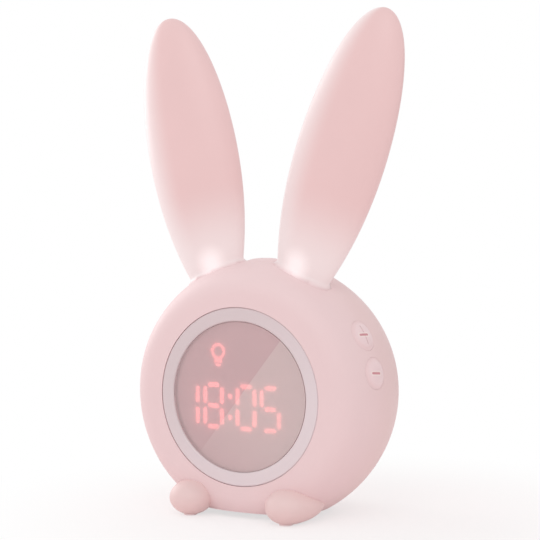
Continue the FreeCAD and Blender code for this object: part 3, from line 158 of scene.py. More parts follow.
class Shade:
    """A material or world while it is put together: a fresh node tree with its output."""

    def __init__(self, owner: Owner, output: str = "ShaderNodeOutputMaterial") -> None:
        """Empties the owner's node tree and gives it an output."""
        owner.use_nodes = True
        self.owner = owner
        self.tree = owner.node_tree
        self.tree.nodes.clear()
        self.end = self.tree.nodes.new(output)

    def node(
        self,
        kind: str,
        settings: dict[str, object] | None = None,
        inputs: dict[int | str, object] | None = None,
        out: int | str = 0,
    ) -> Wire:
        """Adds a node of any kind.

        Args:
            kind: the node's type.
            settings: properties that are set first.
            inputs: values or wires for its sockets, by name or index.
            out: which output to hand back.

        Returns:
            The chosen output.
        """
        made = self.tree.nodes.new(kind)
        for key, value in (settings or {}).items():
            setattr(made, key, value)
        for key, value in (inputs or {}).items():
            self.feed(made.inputs[key], value)
        return Wire(self, made.outputs[out])

    def feed(self, socket: bpy.types.NodeSocket, value: object) -> None:
        """Links a wire to a socket, or sets the socket's own value."""
        if isinstance(value, Wire):
            self.tree.links.new(value.socket, socket)
        elif isinstance(value, tuple) and socket.type == "RGBA" and len(value) == 3:
            socket.default_value = (*value, 1.0)
        else:
            socket.default_value = value

    def place(self) -> Wire:
        """The point on the object, in metres."""
        return self.node("ShaderNodeTexCoord", out="Object")

    def axes(self, place: Wire) -> tuple[Wire, Wire, Wire]:
        """The point's x, y and z as numbers."""
        outputs = self.node("ShaderNodeSeparateXYZ", inputs={0: place}).socket.node.outputs
        return Wire(self, outputs[0]), Wire(self, outputs[1]), Wire(self, outputs[2])

    def radius(self, place: Wire, level: float) -> Wire:
        """Distance from the line that runs front to back at a level: sqrt(x² + (z - level)²)."""
        across, _, up = self.axes(place)
        rise = up - level
        return (across * across + rise * rise).math("SQRT")

    def noise(
        self, place: Wire, scale: float, detail: float = 2.0, stretch: Place = (1.0, 1.0, 1.0)
    ) -> Wire:
        """Smooth noise between 0 and 1.

        Args:
            place: the point.
            scale: cells per metre.
            detail: octaves of finer noise.
            stretch: how each axis is scaled, for noise drawn out along a line.

        Returns:
            The noise value.
        """
        moved = self.node("ShaderNodeMapping", inputs={"Vector": place, "Scale": stretch})
        return self.node("ShaderNodeTexNoise", inputs={"Vector": moved, "Scale": scale, "Detail": detail})

    def cells(self, place: Wire, scale: float) -> Wire:
        """Distance from the nearest of many scattered points, for speckle."""
        return self.node("ShaderNodeTexVoronoi", inputs={"Vector": place, "Scale": scale})

    def distance(self, place: Wire, centre: Place) -> Wire:
        """Distance in metres from a fixed point."""
        return self.node("ShaderNodeVectorMath", {"operation": "DISTANCE"}, {0: place, 1: centre}, "Value")

    def mark(self, name: str) -> Wire:
        """A number stored on the piece's own vertices."""
        return self.node("ShaderNodeAttribute", {"attribute_name": name}, out="Fac")

    def mix(self, share: Wire | float, first: Wire | Colour, second: Wire | Colour) -> Wire:
        """Blends two colours; at a share of 0 the first one shows, at 1 the second."""
        inputs = {MIX_SHARE: share, MIX_FIRST: first, MIX_SECOND: second}
        return self.node("ShaderNodeMix", {"data_type": "RGBA"}, inputs, MIX_RESULT)

    def bump(self, height: Wire, depth: float) -> Wire:
        """A bump of that depth in metres."""
        return self.node("ShaderNodeBump", inputs={"Height": height, "Distance": depth, "Strength": 1.0})

    def principled(self, **sockets: object) -> Wire:
        """The surface shader; underscores in the names stand for spaces."""
        named = {key.replace("_", " "): value for key, value in sockets.items()}
        return self.node("ShaderNodeBsdfPrincipled", inputs=named)

    def close(self, surface: Wire) -> Owner:
        """Joins the surface to the output and hands the material or world back."""
        self.tree.links.new(surface.socket, self.end.inputs["Surface"])
        return self.owner


# Surfaces


def add(name: str, data: bpy.types.ID) -> bpy.types.Object:
    """Makes an object of its data, at the origin, and links it to the scene."""
    made = bpy.data.objects.new(name, data)
    bpy.context.scene.collection.objects.link(made)
    return made


@dataclass
class Skin:
    """A surface worked out on a grid of points.

    Rows run along the shape and columns go round it. Round surfaces join the last column to the
    first. A closed end gets one middle point with a fan of triangles.
    """

    name: str
    points: Grid
    round_about: bool = True
    closed_start: bool = False
    closed_end: bool = False
    marks: dict[str, Grid] = field(default_factory=dict)
    turn_over: bool = False

    def faces(self) -> tuple[list[list[int]], Grid]:
        """Works out the corners of every face from whole arrays of row and column numbers.

        Returns:
            The list of faces and the array of vertices.
        """
        rows, columns = self.points.shape[:2]
        number = np.arange(rows * columns).reshape(rows, columns)
        following = np.roll(number, -1, axis=1)
        if not self.round_about:
            number, following = number[:, :-1], following[:, :-1]
        quads = np.stack([number[:-1], following[:-1], following[1:], number[1:]], axis=-1)
        faces = quads.reshape(-1, 4).tolist()
        vertices = self.points.reshape(-1, 3)
        ends = []
        if self.closed_start:
            ends.append((number[0], following[0], True))
        if self.closed_end:
            ends.append((number[-1], following[-1], False))
        for ring, onward, first in ends:
            middle = np.full(ring.shape, len(vertices))
            fan = np.stack([ring, middle, onward] if first else [ring, onward, middle], axis=-1)
            faces += fan.tolist()
            vertices = np.vstack([vertices, vertices[ring].mean(axis=0)])
        if self.turn_over:
            faces = [face[::-1] for face in faces]
        return faces, vertices

    def build(self) -> bpy.types.Object:
        """Makes the mesh and its object, at the origin, smooth and with its stored numbers."""
        faces, vertices = self.faces()
        mesh = bpy.data.meshes.new(self.name)
        mesh.from_pydata(vertices.tolist(), [], faces)
        mesh.shade_smooth()
        for key, values in self.marks.items():
            ends = [values[0].mean()] * self.closed_start + [values[-1].mean()] * self.closed_end
            stored = mesh.attributes.new(key, "FLOAT", "POINT")
            stored.data.foreach_set("value", np.append(values, ends).astype(np.float32))
        mesh.update()
        return add(self.name, mesh)


def smooth(values: Grid, low: float, high: float) -> Grid:
    """A soft step: 0 below low, 1 above high, and 3s² - 2s³ of the share s in between."""
    share = np.clip((values - low) / (high - low), 0.0, 1.0)
    return share * share * (3.0 - 2.0 * share)


def around(count: int) -> Grid:
    """The angles of a full turn in one row of columns."""
    return np.linspace(0.0, FULL_TURN, count, endpoint=False)[None, :]


def dress(piece: bpy.types.Object, material: bpy.types.Material) -> None:
    """Gives a piece one material in its slots; its mesh isn't touched."""
    piece.data.materials.clear()
    piece.data.materials.append(material)


def settle(piece: bpy.types.Object, body: Body, slot: str, *nodes: str) -> None:
    """Rides a new piece on its body, hides the nodes that it stands for, and logs them."""
    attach(piece, body.value)
    if nodes:
        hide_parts(*nodes)
    log.info("made %s on %s, standing for %s", piece.name, body.value, ", ".join(nodes) or "nothing")


# Finishes


@dataclass(frozen=True)
class Moulded:
    """Moulded plastic or rubber: one tone, faintly clouded, with a fine grain and a soft gloss."""

    name: str
    tone: Colour
    cloud: float = 0.03
    cloud_size: float = 18.0
    roughness: float = 0.5
    swing: float = 0.08
    grain: float = 2200.0
    relief: float = 0.01 * MM
    metallic: float = 0.0
    coat: float = 0.0
    sheen: float = 0.0
    glow: float = 0.0

    def tint(self, shade: Shade, place: Wire) -> Wire:
        """The colour: the tone, a little darker and lighter in soft clouds.

        Args:
            shade: the material under construction.
            place: the point on the object.

        Returns:
            The colour.
        """
        tone = linear(*self.tone)
        darker = tuple(v * (1.0 - self.cloud) for v in tone)
        lighter = tuple(min(1.0, v * (1.0 + self.cloud)) for v in tone)
        clouds = shade.noise(place, self.cloud_size, CLOUD_DETAIL).step(*CLOUD_SPAN)
        return shade.mix(clouds, darker, lighter)

    def gloss(self, shade: Shade, place: Wire) -> Wire:
        """The roughness: its middle value, swung by a finer noise."""
        finer = shade.noise(place, self.cloud_size * GLOSS_FINENESS)
        return finer * (2.0 * self.swing) + (self.roughness - self.swing)

    def height(self, shade: Shade, place: Wire) -> Wire:
        """The fine grain that the bump follows."""
        return shade.noise(place, self.grain)

    def light(self, shade: Shade, tint: Wire) -> Wire:
        """The colour of the light that the surface gives off by itself."""
        return tint

    def material(self) -> bpy.types.Material:
        """Puts the material together."""
        shade = Shade(bpy.data.materials.new(self.name))
        place = shade.place()
        tint = self.tint(shade, place)
        sockets = {
            "Base_Color": tint,
            "Roughness": self.gloss(shade, place),
            "Normal": shade.bump(self.height(shade, place), self.relief),
            "Metallic": self.metallic,
            "Coat_Weight": self.coat,
            "Sheen_Weight": self.sheen,
            "Sheen_Roughness": SHEEN_ROUGHNESS,
        }
        if self.glow:
            sockets["Emission_Color"] = self.light(shade, tint)
            sockets["Emission_Strength"] = self.glow
        return shade.close(shade.principled(**sockets))


@dataclass(frozen=True)
class ShellPink(Moulded):
    """The drum's satin skin: dusty pink, painted shade towards its waist, painted light on its crown, a dark
    seam.
    """

    # Painted shade: the skin turns a deeper pink from the front face back towards its waist.
    waist_shade: Colour = (236, 205, 203)
    waist_shade_depths: Span = (-24.0 * MM, 4.0 * MM)
    waist_shade_share: float = 0.6
    # Painted light: the crown between the ears turns paler.
    crown: Colour = (244, 218, 219)
    crown_light_levels: Span = (100.0 * MM, 128.0 * MM)
    crown_light_share: float = 0.7
    seam: Colour = (170, 132, 132)
    seam_half_width: float = 0.16 * MM
    seam_softness: float = 0.5

    def tint(self, shade: Shade, place: Wire) -> Wire:
        """The base tone with painted shade towards the waist, painted light on the crown between the ears,
        and the seam.
        """
        base = super().tint(shade, place)
        _, depth, up = shade.axes(place)
        waist_shaded = shade.mix(depth.step(*self.waist_shade_depths) * self.waist_shade_share, base, linear(*self.waist_shade))
        crown_lit = shade.mix(up.step(*self.crown_light_levels) * self.crown_light_share, waist_shaded, linear(*self.crown))
        return shade.mix(self.joint(depth), crown_lit, linear(*self.seam))

    def joint(self, depth: Wire) -> Wire:
        """1 on the line where the rear cover meets the shell."""
        outside = self.seam_half_width * (1.0 + self.seam_softness)
        inside = self.seam_half_width * (1.0 - self.seam_softness)
        return abs(depth - SEAM_Y).step(outside, inside)


@dataclass(frozen=True)
class EarGlow(Moulded):
    """Milky ear moulding, lit from its root: a small white glow, painted light at the root, a painted
    highlight on the left side.
    """

    # Painted light: a paler root where the lamp shines, and a painted highlight down the left side.
    painted_light_tone: Colour = (252, 240, 240)
    painted_light_share: float = 0.8
    root_light_rises: Span = (0.36, 0.08)
    side_highlight_places: Span = (-0.20, -0.95)
    joined: Colour = (243, 216, 217)
    lamp: Colour = (250, 250, 252)

    def tint(self, shade: Shade, place: Wire) -> Wire:
        """The tone with painted light at the root and a painted highlight down the left side, and the drum's
        tone where it flares out.
        """
        painted_light_tone = linear(*self.painted_light_tone)
        root_light = shade.mark("rise").step(*self.root_light_rises) * self.painted_light_share
        side = shade.mark("across").step(*self.side_highlight_places) * self.painted_light_share
        painted_light_tint = shade.mix(side, shade.mix(root_light, super().tint(shade, place), painted_light_tone), painted_light_tone)
        return shade.mix(shade.mark("flare"), painted_light_tint, linear(*self.joined))

    def light(self, shade: Shade, tint: Wire) -> Wire:
        """Light at the root, by the number stored on the ear for its spot just above the drum."""
        return shade.mix(shade.mark("spot"), BLACK, linear(*self.lamp))


@dataclass(frozen=True)
class RingLacquer(Moulded):
    """Satin lacquer on the bezel ring, with the faint turned lines of its moulding tool."""

    pitch: float = 0.35 * MM
    turned_share: float = 0.25
    # Painted light: the ring turns lighter towards the lower right.
    lower_right_light: Colour = (232, 218, 221)
    lower_right_light_half_span: float = 50.0 * MM
    slant: float = 0.8

    def tint(self, shade: Shade, place: Wire) -> Wire:
        """The lacquer's tone, with painted light that makes it lighter towards the lower right."""
        across, _, up = shade.axes(place)
        lower_right = across * self.slant - (up - DRUM_Z)
        share = lower_right.step(-self.lower_right_light_half_span, self.lower_right_light_half_span)
        return shade.mix(share, super().tint(shade, place), linear(*self.lower_right_light))

    def height(self, shade: Shade, place: Wire) -> Wire:
        """Fine circles about the drum's axis, over the grain."""
        turned = shade.radius(place, DRUM_Z).ripple(self.pitch)
        return super().height(shade, place) + turned * self.turned_share


@dataclass(frozen=True)
class LensTint(Moulded):
    """Smoked glossy lens: see-through, with a painted reflection, a paler wedge across its lower right."""

    painted_reflection: Colour = (225, 207, 206)
    reflection_alpha: float = 0.05
    share: float = 0.55
    edge_from: Span = (21.9 * MM, 27.0 * MM)
    edge_to: Span = (-16.0 * MM, -20.9 * MM)
    edge_softness: float = 0.15 * MM
    fade_run: Span = (-92.0 * MM, -30.0 * MM)

    def material(self) -> bpy.types.Material:
        """Tinted glossy face, part see-through by its alpha, with the painted reflection right of a slanting
        line.
        """
        shade = Shade(bpy.data.materials.new(self.name))
        place = shade.place()
        across, _, up = shade.axes(place)
        run = np.subtract(self.edge_from, self.edge_to)
        run_x, run_z = (float(v) for v in run / np.hypot(*run))
        aside = across - self.edge_from[0]
        above = up - DRUM_Z - self.edge_from[1]
        right_of_line = (aside * run_z - above * run_x).step(-self.edge_softness, self.edge_softness)
        # The painted reflection: a paler, less see-through wedge right of the line, fading along it.
        painted_reflection = right_of_line * (aside * run_x + above * run_z).step(*self.fade_run)
        surface = shade.principled(
            Base_Color=shade.mix(painted_reflection, self.tint(shade, place), linear(*self.painted_reflection)),
            Roughness=self.gloss(shade, place),
            Normal=shade.bump(self.height(shade, place), self.relief),
            Alpha=painted_reflection * self.reflection_alpha + self.share,
            Coat_Weight=self.coat,
        )
        return shade.close(surface)


@dataclass(frozen=True)
class GlowFilm:
    """The soft light that spreads from the lit figures into the smoked window."""

    name: str
    tone: Colour
    strength: float = 1.0
    roughness: float = 0.7
    grain: float = 900.0
    swing: float = 0.12

    def material(self) -> bpy.types.Material:
        """Lets the window through and adds light by the number stored on the film."""
        shade = Shade(bpy.data.materials.new(self.name))
        grain = shade.noise(shade.place(), self.grain) * self.swing + (1.0 - self.swing / 2.0)
        surface = shade.principled(
            Base_Color=linear(*self.tone),
            Roughness=self.roughness,
            Alpha=shade.mark("haze") * grain,
            Emission_Color=linear(*self.tone),
            Emission_Strength=self.strength,
        )
        return shade.close(surface)


@dataclass(frozen=True)
class SignedCap(Moulded):
    """A press cap with its sign: a cut line with painted shade in it, and a bar of ink with a painted
    highlight round it.
    """

    ink: Colour = (212, 148, 155)
    # Painted shade darkens the cut line; a painted highlight pales the lip round the ink bar.
    groove: Colour = (206, 176, 174)
    groove_shade_share: float = 0.85
    lip: Colour = (248, 232, 228)
    lip_highlight_share: float = 0.7
    edge: Colour = (240, 211, 212)

    def tint(self, shade: Shade, place: Wire) -> Wire:
        """The cap's tone, which turns into the drum's at its edge, then painted shade in the line, the
        painted highlight and the ink.
        """
        base = shade.mix(shade.mark("edge"), super().tint(shade, place), linear(*self.edge))
        groove_shaded = shade.mix(shade.mark("groove") * self.groove_shade_share, base, linear(*self.groove))
        highlighted = shade.mix(shade.mark("lip") * self.lip_highlight_share, groove_shaded, linear(*self.lip))
        return shade.mix(shade.mark("ink"), highlighted, linear(*self.ink))


@dataclass(frozen=True)
class BoardMask(Moulded):
    """Green solder mask over copper: a maze of paler traces and speckles of tin."""

    trace: Colour = (44, 128, 78)
    trace_pitch: float = 520.0
    trace_levels: float = 9.0
    trace_edge: Span = (0.36, 0.42)
    tin: Colour = (196, 198, 194)
    tin_pitch: float = 312.0
    tin_edge: Span = (0.16, 0.10)

    def maze(self, shade: Shade, place: Wire) -> Wire:
        """Traces: where a coarse noise, cut into levels, changes level."""
        level = shade.noise(place, self.trace_pitch, 0.0) * self.trace_levels
        return abs(level.math("FRACT") - 0.5).step(*self.trace_edge)

    def tint(self, shade: Shade, place: Wire) -> Wire:
        """Mask green with its traces and tinned spots."""
        base = super().tint(shade, place)
        traced = shade.mix(self.maze(shade, place), base, linear(*self.trace))
        spots = shade.cells(place, self.tin_pitch).step(*self.tin_edge)
        return shade.mix(spots, traced, linear(*self.tin))

    def height(self, shade: Shade, place: Wire) -> Wire:
        """The traces stand a little proud."""
        return self.maze(shade, place)


@dataclass(frozen=True)
class Plated(Moulded):
    """Zinc-plated steel with fine drawn lines."""

    metallic: float = 1.0
    relief: float = 0.015 * MM
    lines: float = 1500.0
    drawn: Place = (1.0, 0.08, 1.0)

    def height(self, shade: Shade, place: Wire) -> Wire:
        """Noise drawn out along the drum's axis."""
        return shade.noise(place, self.lines, stretch=self.drawn)


@dataclass(frozen=True)
class CrossHead(Plated):
    """Plated screw heads with painted shade in a cross recess, at four places about the drum's axis."""

    # Painted shade: a dark cross stands for each head's recess.
    recess_shade: Colour = (58, 56, 60)
    middle: Span = (37.7 * MM, 21.75 * MM)
    half_length: float = 1.5 * MM
    half_width: float = 0.36 * MM
    softness: float = 0.06 * MM

    def tint(self, shade: Shade, place: Wire) -> Wire:
        """The plating, with painted shade in both arms of the cross; the four heads mirror one another."""
        across, _, up = shade.axes(place)
        beside = abs(abs(across) - self.middle[0])
        above = abs(abs(up - DRUM_Z) - self.middle[1])
        cross = self.arm(beside, above).math("MAXIMUM", self.arm(above, beside))
        return shade.mix(cross, super().tint(shade, place), linear(*self.recess_shade))

    def arm(self, along: Wire, aside: Wire) -> Wire:
        """1 within one arm of the cross."""
        within = along.step(self.half_length + self.softness, self.half_length - self.softness)
        return within * aside.step(self.half_width + self.softness, self.half_width - self.softness)


@dataclass(frozen=True)
class Banded(Moulded):
    """A finish with regular bands from side to side, such as a ribbon's cores or a sleeve's print."""

    band: Colour = (200, 200, 196)
    pitch: float = 1.0 * MM
    sharp: float = 0.15

    def wave(self, shade: Shade, place: Wire) -> Wire:
        """A wave between 0 and 1 that repeats at the pitch."""
        across, _, _ = shade.axes(place)
        return across.ripple(self.pitch) * 0.5 + 0.5

    def tint(self, shade: Shade, place: Wire) -> Wire:
        """The tone and the band's tone by turns."""
        bands = self.wave(shade, place).step(0.5 - self.sharp, 0.5 + self.sharp)
        return shade.mix(bands, super().tint(shade, place), linear(*self.band))

    def height(self, shade: Shade, place: Wire) -> Wire:
        """The bands stand out as low ridges."""
        return self.wave(shade, place)


@dataclass(frozen=True)
class PressedCone(Moulded):
    """Loudspeaker paper: felted fibre with pressed rings about the loudspeaker's axis."""

    middle_z: float = 68.0 * MM
    pitch: float = 1.8 * MM
    fibre_share: float = 0.6

    def height(self, shade: Shade, place: Wire) -> Wire:
        """Pressed rings over the fibre."""
        rings = shade.radius(place, self.middle_z).ripple(self.pitch)
        return super().height(shade, place) * self.fibre_share + rings


@dataclass(frozen=True)
class Finishes:
    """Every finish of the clock."""

    shell: Moulded = ShellPink("satin_shell_pink", (241, 214, 215), cloud=0.012, grain=2600.0)
    foot: Moulded = Moulded("satin_foot_pink", (239, 210, 208), cloud=0.012, roughness=0.46, grain=2600.0)
    ear: Moulded = EarGlow(
        "milky_ear_pink", (240, 204, 203), cloud=0.012, roughness=0.38, sheen=0.25, glow=0.2
    )
    ring: Moulded = RingLacquer(
        "ring_satin_lacquer", (222, 206, 208), cloud=0.01, roughness=0.36, metallic=0.1
    )
    lens: Moulded = LensTint(
        "smoked_lens", (220, 192, 194), roughness=0.12, swing=0.02, coat=0.3, relief=0.002 * MM
    )
    # The window mask glows faintly: partly light leaking from the display, partly painted light that
    # brightens the window.
    mask: Moulded = Moulded("window_mask", (216, 185, 187), cloud=0.02, roughness=0.7, glow=0.38)
    lit: Moulded = Moulded("lit_guide", (255, 168, 168), cloud=0.015, roughness=0.4, glow=1.6)
    haze: GlowFilm = GlowFilm("figure_haze", (255, 176, 172))
    lamp: Moulded = Moulded("lit_ear_lamp", (255, 246, 236), cloud=0.02, roughness=0.3, glow=1.0)
    led: Moulded = Moulded("small_lamp", (250, 236, 222), cloud=0.04, roughness=0.3, glow=0.6)
    cap: Moulded = SignedCap("press_cap_pink", (243, 217, 219), cloud=0.01, roughness=0.42)
    crown_cap: Moulded = Moulded("crown_cap_pink", (243, 216, 217), cloud=0.01, roughness=0.46)
    white: Moulded = Moulded("natural_moulding", (226, 222, 214), roughness=0.55, grain=900.0)
    board: Moulded = BoardMask("board_mask", (24, 92, 52), cloud=0.08, roughness=0.35, relief=0.04 * MM)
    black: Moulded = Moulded("dark_package", (44, 44, 48), cloud=0.12, grain=1600.0, relief=0.03 * MM)
    # Painted light: the grip pads glow faintly to lift them out of the shade under the toes.
    pad: Moulded = Moulded(
        "grip_pad", (246, 228, 228), cloud=0.04, roughness=0.8, grain=1200.0, relief=0.04 * MM, glow=0.12
    )
    foam: Moulded = Moulded(
        "closed_foam", (58, 56, 58), cloud=0.2, roughness=0.95, grain=1400.0, relief=0.1 * MM
    )
    steel: Moulded = Plated("zinc_plate", (200, 200, 204), cloud=0.08, roughness=0.32)
    cross: Moulded = CrossHead("cross_head_plate", (200, 200, 204), cloud=0.08, roughness=0.32)
    wrap: Moulded = Banded("cell_sleeve", (60, 110, 180), band=(70, 124, 196), pitch=3.0 * MM, roughness=0.3)
    strap: Moulded = Banded("woven_strap", (44, 42, 44), band=(70, 68, 70), pitch=0.8 * MM, roughness=0.8)
    cone: Moulded = PressedCone("pressed_cone", (64, 62, 62), cloud=0.15, roughness=0.9, relief=0.15 * MM)
    lead: Moulded = Banded("lead_cover", (186, 60, 56), band=(200, 76, 70), pitch=2.4 * MM)
    ribbon: Moulded = Banded("flat_ribbon", (224, 222, 214), band=(176, 176, 170))


# Sub-assemblies


def cover(finish: Moulded, *nodes: str) -> None:
    """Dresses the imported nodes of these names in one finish."""
    material = finish.material()
    for node in nodes:
        dress(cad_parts[node], material)
    log.info("dressed in %s: %s", finish.name, ", ".join(nodes))


def ending(tail: str) -> list[str]:
    """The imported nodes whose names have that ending."""
    return [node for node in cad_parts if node.endswith(tail)]


@dataclass
class Drum:
    """The round case: its front shell, the rear cover and the screws that hold them."""

    finishes: Finishes

    def build(self) -> None:
        """Dresses the case's nodes."""
        cover(self.finishes.shell, "body_shell", "rear_cover")
        cover(self.finishes.steel, "ear_clips", "foot_screws")
        cover(self.finishes.cross, "cover_screws")


@dataclass
class DrumForm:
    """The drum's outer form, as a distance: a front and a rear arc that meet at its waist."""

    waist: float = 65.0
    front_arc: float = 46.69
    rear_arc: float = 72.4

    def distance(self, points: Grid) -> Grid:
        """How far outside the drum's side a point is, in millimetres from the drum's centre.

        The distance to the arc's circle, in the half plane through the axis, less its radius. The
        circle's middle lies at the waist's radius less the arc's own.

        Args:
            points: places as an array whose last axis is x, y, z.

        Returns:
            The distances, negative inside.
        """
        radius = np.hypot(points[..., 0], points[..., 2])
        arc = np.where(points[..., 1] <= 0.0, self.front_arc, self.rear_arc)
        return np.hypot(radius - (self.waist - arc), points[..., 1]) - arc


@dataclass
class Ears:
    """Two tall leaf-shaped ears that grow out of the drum with a small soft flare."""

    finishes: Finishes
    base: Place = (22.45, -6.81, 52.0)
    tip: Place = (61.28, 7.77, 185.5)
    back: Place = (0.067, 1.0, 0.0)
    base_half_width: float = 12.2
    swell: float = 12.1
    swell_terms: Place = (5.08, -3.64, 1.63)
    thickness_share: float = 0.45
    flare: float = 2.2
    spot_rise: float = 0.068
    spot_half_rise: float = 0.085
    spot_aside: float = 0.1
    spot_half_width: float = 0.62
    spot_core: float = 0.1
    rows: int = 220
    columns: int = 144

    def form(self) -> tuple[Grid, dict[str, Grid]]:
        """Works out the right ear.

        At a share t of the length the half width is sqrt(1 - t) times a cubic, the section is an
        ellipse, and rows crowd towards the tip as 1 - (1 - s)² so that it closes round. Near the
        drum the section widens by r - sqrt(r² - (r - d)²) at a distance d, a fillet of radius r.

        Returns:
            The points in metres, and the numbers stored on them: the rise along the ear, the place
            across it (1 on its outer edge), the spot of light and how far the fillet has widened.
        """
        start, end = np.array(self.base), np.array(self.tip)
        length = np.linalg.norm(end - start)
        along = (end - start) / length
        back = np.array(self.back) - np.dot(self.back, along) * along
        back = back / np.linalg.norm(back)
        side = np.cross(back, along)
        rise = 1.0 - (1.0 - np.linspace(0.0, 1.0, self.rows, endpoint=False)[:, None]) ** 2
        turn = around(self.columns)
        cosine, sine = np.cos(turn)[..., None], np.sin(turn)[..., None]
        first, second, third = self.swell_terms
        cubic = self.base_half_width + self.swell * (first * rise + second * rise**2 + third * rise**3)
        width = np.sqrt(1.0 - rise) * cubic
        middle = start + along * (length * rise)[..., None]
        points = middle + (side * cosine + back * sine * self.thickness_share) * width[..., None]
        gap = np.clip(DrumForm().distance(points), 0.0, self.flare)
        widen = self.flare - np.sqrt(self.flare**2 - (self.flare - gap) ** 2)
        normal = side * cosine * self.thickness_share + back * sine
        normal = normal / np.linalg.norm(normal, axis=-1, keepdims=True)
        points = points + normal * widen[..., None]
        rises, across = np.broadcast_arrays(rise, np.cos(turn))
        above = (rises - self.spot_rise) / self.spot_half_rise
        away = np.hypot(above, (across + self.spot_aside) / self.spot_half_width)
        spot = 1.0 - smooth(away, self.spot_core, 1.0)
        marks = {"rise": rises, "across": across, "spot": spot, "flare": widen / self.flare}
        return points * MM + DRUM_CENTRE, marks

    def build(self) -> None:
        """Makes both ears and dresses the lamps below them."""
        points, stored = self.form()
        milky = self.finishes.ear.material()
        for side, sign in (("right", 1.0), ("left", -1.0)):
            marks = stored | {"across": stored["across"] * sign}
            mirrored = points * np.array([sign, 1.0, 1.0])
            skin = Skin(f"{side}_ear_leaf", mirrored, True, True, True, marks, turn_over=sign < 0)
            ear = skin.build()
            dress(ear, milky)
            settle(ear, Body.CLOCK, "ear_glow", f"{side}_ear")
        cover(self.finishes.lamp, "ear_lights")


@dataclass
class PressCap:
    """A soft pillow of a press cap that lies in the drum's bulge, with its sign."""

    finishes: Finishes
    name: str
    body: Body
    node: str
    middle: Place
    outward: Place
    radius: float = 7.7
    pillow_radius: float = 6.9
    pillow_rise: float = 1.15
    pillow_power: float = 3.5
    edge_share: float = 0.7
    skirt: float = 3.0
    upright: bool = False
    signed: bool = True
    bar_half_length: float = 2.6
    bar_half_width: float = 0.55
    bar_shift: float = -0.9
    bar_tilt: float = math.radians(8.0)
    bar_depth_share: float = 0.5
    highlight_widening: float = 2.2
    line_half_length: float = 4.6
    line_half_width: float = 0.24
    line_shift: float = -0.36
    slot_softness: float = 0.3
    sign_depth: float = 0.25
    front_bend: float = DrumForm.front_arc
    rear_bend: float = DrumForm.front_arc
    round_bend: float = 64.5
    first_ring: float = 0.01
    rings: int = 96
    spokes: int = 320

    def axes(self) -> tuple[Grid, Grid, Grid]:
        """The cap's outward direction, its level direction and its upward direction."""
        out = np.array(self.outward) / np.linalg.norm(self.outward)
        axis = np.array([0.0, 1.0, 0.0])
        level = axis - np.dot(axis, out) * out
        level = level / np.linalg.norm(level)
        return out, level, np.cross(out, level)

    def slot(self, along: Grid, across: Grid, half_length: float, half_width: float) -> Grid:
        """A round-ended slot as a soft mask: 1 within the half width of the middle line."""
        beyond = np.maximum(np.abs(along) - half_length, 0.0)
        inside, outside = half_width * (1.0 - self.slot_softness), half_width * (1.0 + self.slot_softness)
        return 1.0 - smooth(np.hypot(beyond, across), inside, outside)

    def build(self) -> None:
        """Makes the cap and dresses it.

        The face follows the drum, falling by x² / 2A + y² / 2B, where A is the drum's bend from
        front to back and B its round bend. On it stands a pillow of its rise times 1 - (r / R) to
        the pillow's power. The skirt goes straight down.
        """
        out, level, up = self.axes()
        face = np.linspace(self.first_ring, 1.0, self.rings) * self.radius
        radii = np.append(face, [self.radius, self.radius])[:, None]
        drop = np.append(np.zeros(self.rings), [self.skirt / 2.0, self.skirt])[:, None]
        turn = around(self.spokes)
        across, rise = radii * np.cos(turn), radii * np.sin(turn)
        share = np.clip(radii / self.pillow_radius, 0.0, 1.0)
        pillow = self.pillow_rise * (1.0 - share**self.pillow_power)
        bend = np.where(across > 0.0, self.rear_bend, self.front_bend)
        follow = across**2 / (2.0 * bend) + rise**2 / (2.0 * self.round_bend)
        cosine, sine = math.cos(self.bar_tilt), math.sin(self.bar_tilt)
        along_bar = (across - self.bar_shift) * cosine - rise * sine
        off_bar = (across - self.bar_shift) * sine + rise * cosine
        bar = self.slot(along_bar, off_bar, self.bar_half_length, self.bar_half_width) * self.signed
        # The band round the ink bar, which carries the painted highlight.
        highlight_half_width = self.bar_half_width * self.highlight_widening
        lip = self.slot(along_bar, off_bar, self.bar_half_length, highlight_half_width) * self.signed
        # The cut line: it is sunk, and its mark carries painted shade.
        line = self.slot(rise, across - self.line_shift, self.line_half_length, self.line_half_width)
        groove = line * self.upright
        sunk = np.maximum(groove, bar * self.bar_depth_share) * self.sign_depth
        height = pillow - follow - drop - sunk
        points = self.middle + across[..., None] * level + rise[..., None] * up + height[..., None] * out
        edge = smooth(radii, self.edge_share * self.pillow_radius, self.pillow_radius)
        marks = {"groove": groove, "ink": bar, "lip": lip, "edge": np.broadcast_to(edge, across.shape)}
        points = points * MM + DRUM_CENTRE
        cap = Skin(self.name, points, True, True, True, marks, turn_over=True).build()
        finish = self.finishes.cap if self.signed else self.finishes.crown_cap
        dress(cap, finish.material())
        settle(cap, self.body, "button_pink", self.node)


